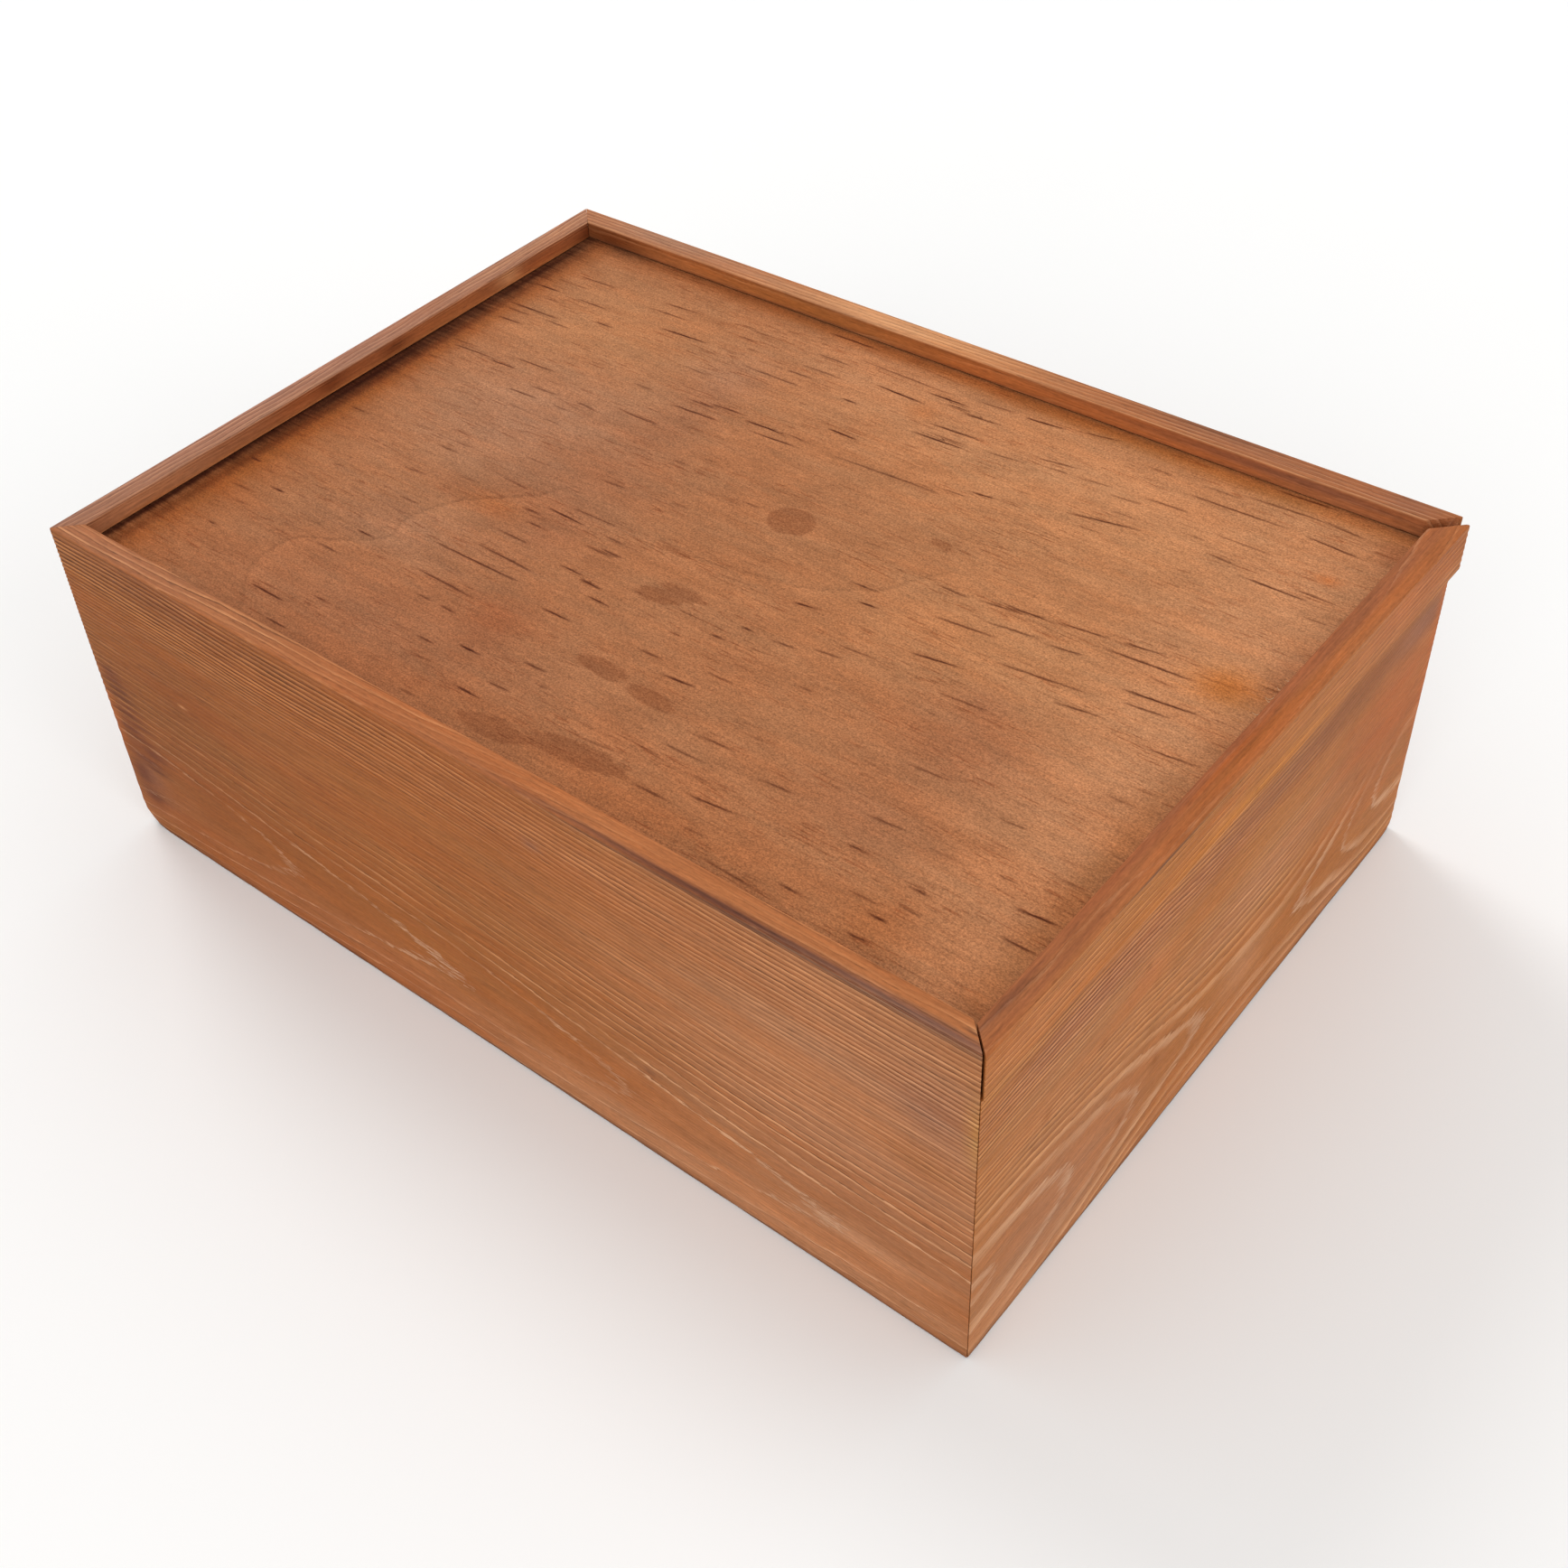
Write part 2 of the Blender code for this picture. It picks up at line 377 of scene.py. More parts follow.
def worn(points, corner, reach):
    """Moves points round a corner of the box in behind a slanting plane, with soft edges.

    corner is (x, y, z) and reach is how far the wear runs along each axis. Where the sum of the
    distances from the corner, each over the reach, is under 1, a point moves square to the plane
    where the sum is 1, and the soft edge rounds the step with log(1 + exp).
    """
    corner = np.array(corner)
    normal = (-np.sign(corner) + (corner == 0)) / reach
    share = ((points - corner) * normal).sum(-1)
    over = WEAR_SOFTNESS * np.logaddexp(0, (1 - share) / WEAR_SOFTNESS) * (share < WEAR_END)
    return points + over[..., None] * normal / (normal @ normal)


# Wood


Log = namedtuple("Log", "places pith_depths pith_heights first_radius ring_widths changes ease side")
Log.__doc__ = """How a board lay in its tree.

places are stations along the board, where the pith lies pith_depths from its face, at
pith_heights. Ring 0 starts at first_radius. The first of ring_widths holds up to the first radius
in changes, the next one up to the next change, and so on, and ease is how gently a width changes.
side is 1 with the pith in front of the face and -1 behind it.
"""

Wash = namedtuple("Wash", "face along across run breadth colour strength")
Wash.__doc__ = """A soft patch of stain on one face of a board, centred at (along, across)."""

Board = namedtuple(
    "Board", "name body along inward half_length height log late_width tones washes lines seed"
)
Board.__doc__ = """One mitred board. along and inward are its axes in the box.

tones name the stains of its outer face, its top edge and its inner face. lines are soft patches
where the grain lines stand out more or less, as (along, up, run, breadth, change).
"""


def ring_number(log, along, depth, up):
    """Which growth ring each point lies in, as a number that rises outwards.

    The radius is the distance to the pith, and the count grows by 1 for each ring's width, which
    eases into the next width at each change of the tree's growth.
    """
    back = through(along, log.places, log.pith_depths) + log.side * depth
    radius = np.hypot(back, up - through(along, log.places, log.pith_heights))
    count = (radius - log.first_radius) / log.ring_widths[0]
    for change, before, after in zip(log.changes, log.ring_widths, log.ring_widths[1:]):
        count = count + log.ease * np.logaddexp(0, (radius - change) / log.ease) * (1 / after - 1 / before)
    return count


def linear(hex_colour):
    """Linear RGB of an sRGB hex value."""
    channels = np.array([int(hex_colour[i : i + 2], 16) for i in (0, 2, 4)]) / 255
    return np.where(channels <= 0.04045, channels / 12.92, ((channels + 0.055) / 1.055) ** 2.4)


def stained(tone, washes, along, across, seed):
    """The stain at each point: each wash mixes its colour in by a bell curve round its centre.

    The bell's edge is ragged along the grain, because stain runs along the fibres.
    """
    colour = np.broadcast_to(linear(WOOD_TONES[tone]), along.shape + (3,))
    ragged = 1 + wander(STAIN_EDGE, along, across, seed)
    for wash in washes:
        bell = ((along - wash.along) / wash.run) ** 2 + ((across - wash.across) / wash.breadth) ** 2
        share = np.clip(wash.strength * np.exp(-bell * ragged), 0, 1)
        colour = colour + (linear(wash.colour) - colour) * share[..., None]
    return colour


def board_stain(board, along, depth, up):
    """Linear colour at each point of a board, from its faces' stains and their washes."""
    top = eased(up, board.height - RIM_STAIN[0], board.height - RIM_STAIN[1])
    inner = eased(depth, *INNER_STAIN)
    total = 0
    for face, tone, weight in zip(
        ("face", "rim", "inside"), board.tones, ((1 - top) * (1 - inner), top, (1 - top) * inner)
    ):
        washes = [wash for wash in board.washes if wash.face == face]
        colour = stained(tone, washes, along, depth if face == "rim" else up, board.seed)
        total = total + colour * weight[..., None]
    mottle = 1 + wander(BROAD_MOTTLE, along, up - depth, board.seed)
    mottle += wander(FINE_MOTTLE, along, up - depth, board.seed)
    return total * mottle[..., None]


def brushed(rings):
    """Height of the brushed surface over a ring, from 0 to 1: soft early wood sinks, late wood stays.

    It is a raised cosine with its top just before the ring's end, sharpened a little.
    """
    return (0.5 + 0.5 * np.cos(math.tau * (rings - CREST_PLACE))) ** CREST_SHARPNESS


def line_weight(board, along, up):
    """How much the grain lines stand out, with a bell curve for each patch of the board's lines."""
    weight = LINE_WEIGHT + wander(LINE_PATCHES, along, up, board.seed)
    for centre, height, run, breadth, change in board.lines:
        bell = ((along - centre) / run) ** 2 + ((up - height) / breadth) ** 2
        weight = weight + change * np.exp(-bell)
    return np.clip(weight, *LINE_WEIGHT_LIMITS)


def board_loops(board, profile, starts, ends, sizes, face_point):
    """The carried outline of a board, and what its material reads.

    profile holds (depth, height) points. starts and ends give the place along the board where a
    depth meets the first and the second mitre. The outer face sinks by the brushing, and rounds
    over where it meets the mitres. face_point turns (along, depth, up) into places in the box.
    """
    depth, up = profile[None, :, 0], profile[None, :, 1]
    share = stations(2 * board.half_length, STATION_STEP)[:, None]
    along = starts(depth) + (ends(depth) - starts(depth)) * share
    depth, up = np.broadcast_arrays(depth, up, along)[:2]
    # The grain strays across the board in long swells with small ripples on them
    bend = sum(wander(waves, along, up - depth, board.seed) for waves in (GRAIN_SWELL, GRAIN_RIPPLE))
    rings = ring_number(board.log, along, depth, up + bend)
    weight = line_weight(board, along, up)

    # Relief: the brushing fades where the rings run across the board, and below its upper edge
    outer = 1 - eased(depth, *OUTER_SKIN)
    rim = eased(up, board.height - RIM_SKIN[0], board.height - RIM_SKIN[1])
    near_top = eased(up, board.height - CALM_EDGE[0], board.height - CALM_EDGE[1])
    crisp = 1 / (1 + (np.abs(np.gradient(rings, axis=0)) / STEEP_RINGS) ** 2)
    sunk = sizes.brush_depth * (1 - brushed(rings)) * weight * crisp
    from_end = np.minimum(along - starts(depth), ends(depth) - along)
    rounding = np.clip(sizes.arris_round - from_end, 0, None)
    rolled = sizes.arris_round - np.sqrt(np.clip(sizes.arris_round**2 - rounding**2, 0, None))
    depth = depth + outer * (sunk * (1 - rim) * (1 - EDGE_CALM * near_top) + rolled)
    up = up - RIM_BRUSHING * sunk * rim
    torn = np.clip(wander(TORN_FOOT, along, depth, board.seed), 0, TORN_FOOT.size)
    up = up + torn * np.clip(1 - up / TORN_HEIGHT, 0, 1)
    along = starts(depth) + (ends(depth) - starts(depth)) * share

    # Paint: the spacing of the rings tells how much of each one is late wood, and how much is shadow
    side_step = np.hypot(np.gradient(depth, axis=1), np.gradient(up, axis=1)).clip(1e-6)
    pitch = 1 / np.clip(np.abs(np.gradient(rings, axis=1)) / side_step, FEWEST_RINGS, None)
    shade_share = np.clip(SHADE_WIDTH / pitch, *SHADE_LIMITS)
    wide = np.clip(1 - WIDE_RING_FADE * shade_share, 0, 1)
    colour = board_stain(board, along, depth, up)
    attributes = {
        "ring": rings - np.minimum(STEP_LEAD / pitch, STEP_LEAD_LIMIT) - LEAD - WIDE_LEAD * wide,
        "late_share": np.clip(board.late_width / pitch, *LATE_LIMITS),
        "shade_share": shade_share,
        "line_weight": weight,
        "place": np.stack([along + board.seed, depth, up], -1),
        "stain": np.concatenate([colour, np.ones(colour.shape[:2] + (1,))], -1),
    }
    return face_point(along, depth, up), attributes


# The stain's tones, from the darkest to the palest
WOOD_TONES = {
    # The darkest tone is painted shade, used only for the closed end wall's shadow on the lid
    "painted_shadow": "34120C",
    "umber": "4A2C22",
    "plum": "5A3024",
    "mahogany": "5E260A",
    "mauve": "7C5444",
    "russet": "864814",
    "burnt": "924C18",
    "chestnut": "925434",
    "nutmeg": "9A5A28",
    "clay": "9C6444",
    "copper": "A66236",
    "amber": "A8662E",
    "orange": "B05A1E",
    "tan": "A86E48",
    "rose": "A4705A",
    "ginger": "B46C3C",
    "dusty": "AA7C60",
    "honey": "B4803C",
    "sand": "BA7F54",
    "gold": "BE7428",
    "peach": "C68A60",
    "pale": "D49462",
}

NEAR_LOG = Log(
    places=np.array([-175, -120, -85, -30, -5, 50, 110, 175]) * MM,
    pith_depths=np.array([78.3, 79.4, 80.35, 81.35, 81.6, 82.65, 83.75, 84.4]) * MM,
    pith_heights=np.array([28, 27.5, 27, 27, 26, 24, 23.5, 24]) * MM,
    first_radius=80.2 * MM,
    ring_widths=(1.25 * MM, 1.05 * MM, 1.5 * MM),
    changes=(100 * MM, 116 * MM),
    ease=2 * MM,
    side=-1,
)
OPEN_LOG = Log(
    places=np.array([-125, -75, -45, -15, 20, 55, 80, 125]) * MM,
    pith_depths=np.array([3, 19.5, 27, 31.5, 33, 32, 28, 6]) * MM,
    pith_heights=np.array([30, 30, 30, 27.5, 25, 24.5, 28, 40]) * MM,
    first_radius=6 * MM,
    ring_widths=(13.5 * MM, 1.8 * MM),
    changes=(35 * MM,),
    ease=5 * MM,
    side=1,
)
RAIL_LOG = Log(
    places=np.array([-125, -60, 0, 60, 125]) * MM,
    pith_depths=np.array([33.5, 34, 34.5, 34.5, 34]) * MM,
    pith_heights=np.array([30, 28.5, 28, 29, 31]) * MM,
    first_radius=6 * MM,
    ring_widths=(13.5 * MM, 2.1 * MM),
    changes=(35 * MM,),
    ease=5 * MM,
    side=1,
)
FAR_LOG = Log(
    places=np.array([-175, -60, 40, 175]) * MM,
    pith_depths=np.array([70, 72, 75, 74]) * MM,
    pith_heights=np.array([96, 99, 101, 97]) * MM,
    first_radius=60 * MM,
    ring_widths=(1.7 * MM, 1.1 * MM),
    changes=(85 * MM,),
    ease=3 * MM,
    side=-1,
)
CLOSED_LOG = Log(
    places=np.array([-125, -30, 60, 125]) * MM,
    pith_depths=np.array([49.5, 50, 50.5, 49.5]) * MM,
    pith_heights=np.array([43, 42.5, 42.5, 43.5]) * MM,
    first_radius=40 * MM,
    ring_widths=(2.3 * MM, 0.95 * MM),
    changes=(62 * MM,),
    ease=4 * MM,
    side=-1,
)


def mm_washes(face, rows):
    """Washes on one face from rows in millimetres: (along, across, run, breadth, tone, strength)."""
    return [Wash(face, a * MM, c * MM, run * MM, breadth * MM, WOOD_TONES[tone], strength)
            for a, c, run, breadth, tone, strength in rows]


def mm_lines(rows):
    """Patches of stronger or weaker grain lines from rows in millimetres."""
    return [(a * MM, h * MM, run * MM, breadth * MM, change) for a, h, run, breadth, change in rows]


# Each wash below is one patch of colour seen on the box
NEAR_BOARD = Board(
    name="brushed_near_wall", body="box",
    along=Vector((1, 0, 0)), inward=Vector((0, 1, 0)),
    half_length=HALF_LENGTH, height=BOX_HEIGHT,
    log=NEAR_LOG,
    late_width=0.65 * MM,
    tones=("nutmeg", "copper", "russet"),
    washes=mm_washes("face", [
        (140, 80, 80, 85, "tan", 0.95), (-140, 75, 70, 90, "russet", 0.9),
        (-70, 116, 130, 16, "burnt", 0.7), (70, 114, 70, 10, "copper", 0.5),
        (-70, 8, 110, 14, "copper", 0.7), (60, 8, 80, 12, "peach", 0.45), (10, 79, 90, 9, "burnt", 0.5),
        (-130, 119, 65, 9, "russet", 0.6), (-130, 122, 60, 7, "mahogany", 0.25),
        (-50, 99, 40, 9, "burnt", 0.35), (-168, 40, 6, 26, "mahogany", 0.3),
        (-162, 27, 7, 7, "mauve", 0.35), (163, 98, 14, 16, "clay", 0.6), (160, 96, 9, 9, "mauve", 0.3),
        (160, 74, 14, 4, "nutmeg", 0.5), (174, 97, 1.8, 13, "honey", 0.5), (85, 34, 30, 9, "sand", 0.3),
        (110, 80, 60, 12, "sand", 0.3), (130, 8, 50, 9, "peach", 0.35), (31, 110, 3, 2, "mauve", 0.5),
        # Painted shade: the umber wash along the bottom edge, at the end of the next line, paints the dark
        # line where the wall meets the floor
        (143, 22.5, 20, 4.2, "peach", 0.75), (0, 0, 400, 1.5, "umber", 0.8),
        (-173.5, 52, 1.6, 14, "orange", 0.45), (120, 128, 75, 1.3, "umber", 0.85),
        (66, 39.5, 2.4, 2, "plum", 0.35), (-128, 77.5, 0.8, 0.5, "pale", 0.8),
    ] + [
        (along, up, run, breadth, "mahogany", 0.75) for along, up, run, breadth in (
            (-168, 73, 4, 2), (-167, 69.5, 6, 1.4), (-165, 66, 5, 1.3), (-166, 62.5, 8, 1.1),
            (-163, 59, 6, 0.9), (-165, 55.5, 7, 1.2), (-161, 52, 8, 0.9), (-165, 48.5, 6, 1.3),
            (-160, 45.5, 7, 0.8), (-157, 41, 7, 2.6), (-161, 36, 8, 1.6), (-158, 33, 6, 1),
            (-166, 17, 6, 4), (-168, 27, 4, 5),
        )
    ]) + mm_washes("rim", [
        (110, 0.9, 75, 1.3, "plum", 0.95), (110, 1.4, 75, 0.4, "umber", 0.6),
        (158, 1.5, 26, 1.5, "mauve", 0.85), (164, 2.7, 12, 0.45, "umber", 0.6),
        (150, 0.9, 14, 0.4, "umber", 0.5), (120, 4.8, 90, 2.4, "ginger", 0.7),
        (20, 6.6, 60, 1.6, "ginger", 0.5), (-150, 4, 40, 4, "clay", 0.5),
        (169.5, 4.4, 2.5, 0.35, "umber", 0.7), (170.5, 5.1, 2, 0.35, "pale", 0.8),
    ]) + mm_washes("inside", [(0, 120, 200, 6, "russet", 0.6)]),
    lines=mm_lines([
        (150, 105, 60, 32, 0.25), (130, 118, 70, 9, 0.2), (120, 45, 70, 18, 0.6), (-20, 30, 60, 18, 0.3),
        (0, 92, 70, 14, -0.35), (-120, 84, 70, 16, -0.35), (-60, 114, 110, 12, 0.3), (130, 38, 60, 9, 0.45),
        (-18, 27, 18, 5, 0.4), (-150, 28, 22, 10, -0.8), (-135, 43, 25, 3, 0.5), (130, 84, 60, 14, -0.3),
        (138, 25, 18, 5, 0.2), (-140, 60, 50, 12, 0.1), (-120, 117, 75, 12, 0.85), (-60, 70, 60, 8, -0.2),
        (90, 128.4, 120, 0.6, -0.45), (-100, 128.4, 80, 0.6, -0.2),
    ]),
    seed=1,
)
FAR_BOARD = Board(
    name="brushed_far_wall", body="box",
    along=Vector((-1, 0, 0)), inward=Vector((0, -1, 0)),
    half_length=HALF_LENGTH, height=BOX_HEIGHT,
    log=FAR_LOG,
    late_width=0.7 * MM,
    tones=("nutmeg", "copper", "ginger"),
    washes=mm_washes("rim", [
        (20, 4, 55, 6, "pale", 0.9), (-110, 4, 60, 6, "clay", 0.8), (130, 3, 45, 5, "dusty", 0.7),
        (-95, 1.2, 26, 1.4, "umber", 0.5), (-160, 4, 12, 6, "mauve", 0.5), (0, 7.8, 250, 0.9, "sand", 0.5),
    ]) + mm_washes("inside", [
        (155, 125, 22, 12, "mahogany", 0.8), (60, 125, 60, 12, "amber", 0.6),
        (-120, 126.5, 50, 2.2, "mauve", 0.7), (-150, 123, 40, 2, "tan", 0.6),
        (0, 122.3, 250, 0.9, "chestnut", 0.7), (60, 128, 120, 0.6, "mahogany", 0.6),
    ]) + mm_washes("face", [(-90, 60, 80, 50, "clay", 0.7), (110, 40, 60, 40, "russet", 0.6)]),
    lines=mm_lines([(0, 125, 250, 5, -0.45), (60, 40, 90, 30, 0.3)]),
    seed=2,
)
CLOSED_BOARD = Board(
    name="brushed_closed_end_wall", body="box",
    along=Vector((0, -1, 0)), inward=Vector((1, 0, 0)),
    half_length=HALF_WIDTH, height=BOX_HEIGHT,
    log=CLOSED_LOG,
    late_width=0.75 * MM,
    tones=("nutmeg", "clay", "chestnut"),
    washes=mm_washes("rim", [
        (0, 4, 130, 4, "rose", 0.4), (-90, 3, 40, 3, "peach", 0.4), (0, 0.8, 200, 1.4, "rose", 0.6),
        (20, 7.6, 40, 1, "dusty", 0.5),
    ]) + mm_washes("inside", [
        (0, 125, 200, 10, "orange", 0.3), (90, 125, 40, 8, "peach", 0.5), (14, 125, 6, 9, "mahogany", 0.6),
        (-16, 124, 7, 7, "mahogany", 0.6), (-74, 125, 6, 9, "pale", 0.7), (-45, 125, 18, 8, "copper", 0.6),
        (0, 122.3, 200, 1.2, "ginger", 0.8), (-118, 124, 8, 10, "mahogany", 0.7),
    ]) + mm_washes("face", [(-50, 50, 50, 50, "clay", 0.7), (80, 90, 50, 30, "russet", 0.6)]),
    lines=mm_lines([(0, 128.4, 150, 0.6, 0.05), (0, 124.5, 200, 3, -0.8), (0, 60, 90, 30, 0.2)]),
    seed=3,
)
OPEN_BOARD = Board(
    name="brushed_open_end_wall", body="box",
    along=Vector((0, 1, 0)), inward=Vector((-1, 0, 0)),
    half_length=HALF_WIDTH, height=OPEN_HIGH.z,
    log=OPEN_LOG,
    late_width=5 * MM,
    tones=("amber", "nutmeg", "russet"),
    washes=mm_washes("face", [
        (-75, 100, 60, 8.5, "chestnut", 0.75), (70, 99, 55, 9, "russet", 0.85),
        (114, 97, 20, 7, "mauve", 0.65), (105, 68, 42, 30, "burnt", 0.6), (102, 72, 26, 20, "orange", 0.5),
        (-85, 80, 50, 22, "dusty", 0.2), (-10, 98, 25, 8, "chestnut", 0.35), (25, 99, 40, 7, "mauve", 0.25),
        (-85, 28, 45, 30, "dusty", 0.5), (18, 28, 14, 11, "sand", 0.6), (124, 80, 3, 45, "orange", 0.7),
        (0, 5, 130, 4, "sand", 0.5), (-110, 9, 25, 7, "peach", 0.5), (80, 9, 20, 7, "clay", 0.4),
        # Painted shade: the umber wash along the bottom edge, at the end of the next line, paints the dark
        # line where the wall meets the floor
        (-45, 84, 10, 7, "ginger", 0.6), (20, 62, 40, 12, "dusty", 0.35), (0, 0, 400, 1.5, "umber", 0.8),
    ] + [
        (along, up, run, breadth, "russet", 0.5) for along, up, run, breadth in (
            (-34, 35, 1.6, 2.4), (-12, 27, 2, 1.8), (-39, 53, 1.8, 2), (-41, 74, 1, 3), (-46, 86, 1.6, 2),
            (-66, 75, 1.5, 2.5), (-52, 26, 1.2, 2.6), (-94, 72, 1, 3), (-100, 65, 1.2, 2), (82, 57, 1.2, 2),
            (104, 49, 1.2, 2),
        )
    ]),
    lines=mm_lines([
        (-75, 100, 50, 9, 0.6), (90, 100, 60, 12, -0.3), (-20, 82, 90, 8, -0.4), (95, 72, 45, 22, -0.5),
        (-60, 30, 60, 30, 0.2), (90, 22, 40, 10, 0.3), (-95, 66, 40, 8, 0.1), (100, 55, 40, 12, -0.3),
        (66, 25, 12, 7, 0.2), (108, 28, 9, 5, 0.2), (-50, 30, 12, 12, 0.15), (-60, 52, 30, 6, -0.3),
    ]),
    seed=4,
)
RAIL_BOARD = Board(
    name="brushed_lid_rail", body="lid",
    along=Vector((0, 1, 0)), inward=Vector((-1, 0, 0)),
    half_length=HALF_WIDTH, height=BOX_HEIGHT,
    log=RAIL_LOG,
    late_width=0.5 * MM,
    tones=("amber", "copper", "russet"),
    washes=mm_washes("face", [
        (-105, 120, 40, 12, "ginger", 0.6), (5, 114.5, 50, 2.4, "gold", 0.75),
        (85, 121, 45, 12, "copper", 0.6), (118, 121, 18, 12, "burnt", 0.45),
        (85, 120, 30, 12, "orange", 0.25), (-48, 127.6, 18, 0.8, "umber", 0.7),
        (-20, 122.5, 16, 2.2, "orange", 0.4), (110, 115.5, 20, 1.8, "ginger", 0.5),
        (-45, 112.2, 40, 0.5, "pale", 0.6),
    ]) + mm_washes("rim", [
        (0, 6.4, 140, 2.2, "chestnut", 0.85), (70, 4.6, 45, 1.1, "chestnut", 0.6),
        (0, 3.6, 30, 1, "russet", 0.5), (-90, 2.4, 40, 1.2, "chestnut", 0.6),
        (-10, 5.2, 22, 0.7, "orange", 0.5), (20, 2.2, 90, 1.3, "orange", 0.35),
        (-110, 5.5, 14, 1.5, "plum", 0.5),
    ]),
    lines=mm_lines([(0, 120, 140, 12, -0.2), (-60, 118, 50, 6, 0.15), (0, 128.4, 200, 0.8, -0.35)]),
    seed=5,
)


def box_points(board, origin):
    """A function from a board's own (along, depth, up) to places in the box."""
    def points(along, depth, up):
        axes = np.array([board.along, board.inward, (0, 0, 1)])
        return np.array(origin) + np.stack([along, depth, up], -1) @ axes

    return points


def mitred_wall(board, origin, has_lid_groove, sizes):
    """A wall's loops and attributes, with its ends cut at 45 degrees.

    The glue line is open at both faces and closes towards the middle of the board, by a sine.
    """
    grooves = [(BOTTOM_GROOVE_FLOOR, BOTTOM_GROOVE_CEILING, PLAIN_STEP)]
    if has_lid_groove:
        grooves.append((LID_GROOVE_FLOOR, LIP_UNDERSIDE, LIP_STEP))
    rounds = [sizes.edge_round] * 4
    profile = board_outline(WALL_THICKNESS, 0, board.height, GROOVE_DEPTH, grooves, rounds)

    def end(depth):
        closed = np.sin(math.pi * np.clip(depth / WALL_THICKNESS, 0, 1))
        return board.half_length - depth - sizes.mitre_gap * (1.02 - closed) / math.sqrt(2)

    return board_loops(board, profile, lambda depth: -end(depth), end, sizes, box_points(board, origin))


# Loose fibres at the rail's inner edge, in millimetres: (place along the rail, reach across and along)
LINT = [
    (31, -1.0, -0.8), (26, -1.4, 0.3), (24, -0.5, -1.4),
    (22.5, -2.2, -1.6), (20, -1.7, 0.5), (14, -1.9, -0.5),
]
LINT_SAG = 0.35
LINT_TAPER = 0.7


def fibre_loops(foot, reach, thickness):
    """A loose fibre: a thin tube that tapers to its tip, sagging by a sine between foot and tip."""
    share, turn = np.linspace(0, 1, 16)[:, None], np.linspace(0, math.tau, 6)[None, :-1, None]
    radius = thickness / 2 * (1 - LINT_TAPER * share)[..., None]
    across = np.array([reach[1], -reach[0], 0]) / math.hypot(*reach)
    path = np.array(foot) + np.array([*reach, 0]) * share
    path = path - np.array([0, 0, LINT_SAG * math.hypot(*reach)]) * np.sin(math.pi * share)
    ring = radius * np.cos(turn) * across + radius * np.sin(turn) * np.array([0, 0, 1])
    return path[:, None, :] + ring


def rail_loops(board, sizes):
    """The rail's loops and attributes. It is a board that tapers towards its near end.

    Its depth runs from 0 on its outer face to the near end's thickness, and each end stretches
    that depth to its own thickness and stands proud of the wall by its own amount. The mitres'
    planes lie at 45 degrees, their gap away from the walls' own.
    """
    near_thick, near_proud, near_gap = RAIL_NEAR
    far_thick, far_proud, far_gap = RAIL_FAR
    grooves = [(LID_GROOVE_FLOOR, LID_HIGH.z + PANEL_GAP, LIP_STEP)]
    rounds = [RAIL_FOOT_ROUND, RAIL_FOOT_ROUND, sizes.edge_round, RAIL_TOP_ROUNDING * sizes.edge_round]
    profile = board_outline(near_thick, RAIL_LOW.z, BOX_HEIGHT, RAIL_GROOVE_DEPTH, grooves, rounds)

    def past_wall(depth, thick, proud):
        return proud - depth * thick / near_thick

    def start(depth):
        return near_gap * math.sqrt(2) - past_wall(depth, near_thick, near_proud) - HALF_WIDTH

    def end(depth):
        return HALF_WIDTH - far_gap * math.sqrt(2) + past_wall(depth, far_thick, far_proud)

    def points(along, depth, up):
        share = (along - start(depth)) / (end(depth) - start(depth))
        near_x, far_x = past_wall(depth, near_thick, near_proud), past_wall(depth, far_thick, far_proud)
        return np.stack([HALF_LENGTH + near_x + (far_x - near_x) * share, along, up], -1)

    return board_loops(board, profile, start, end, sizes, points)


# Plywood


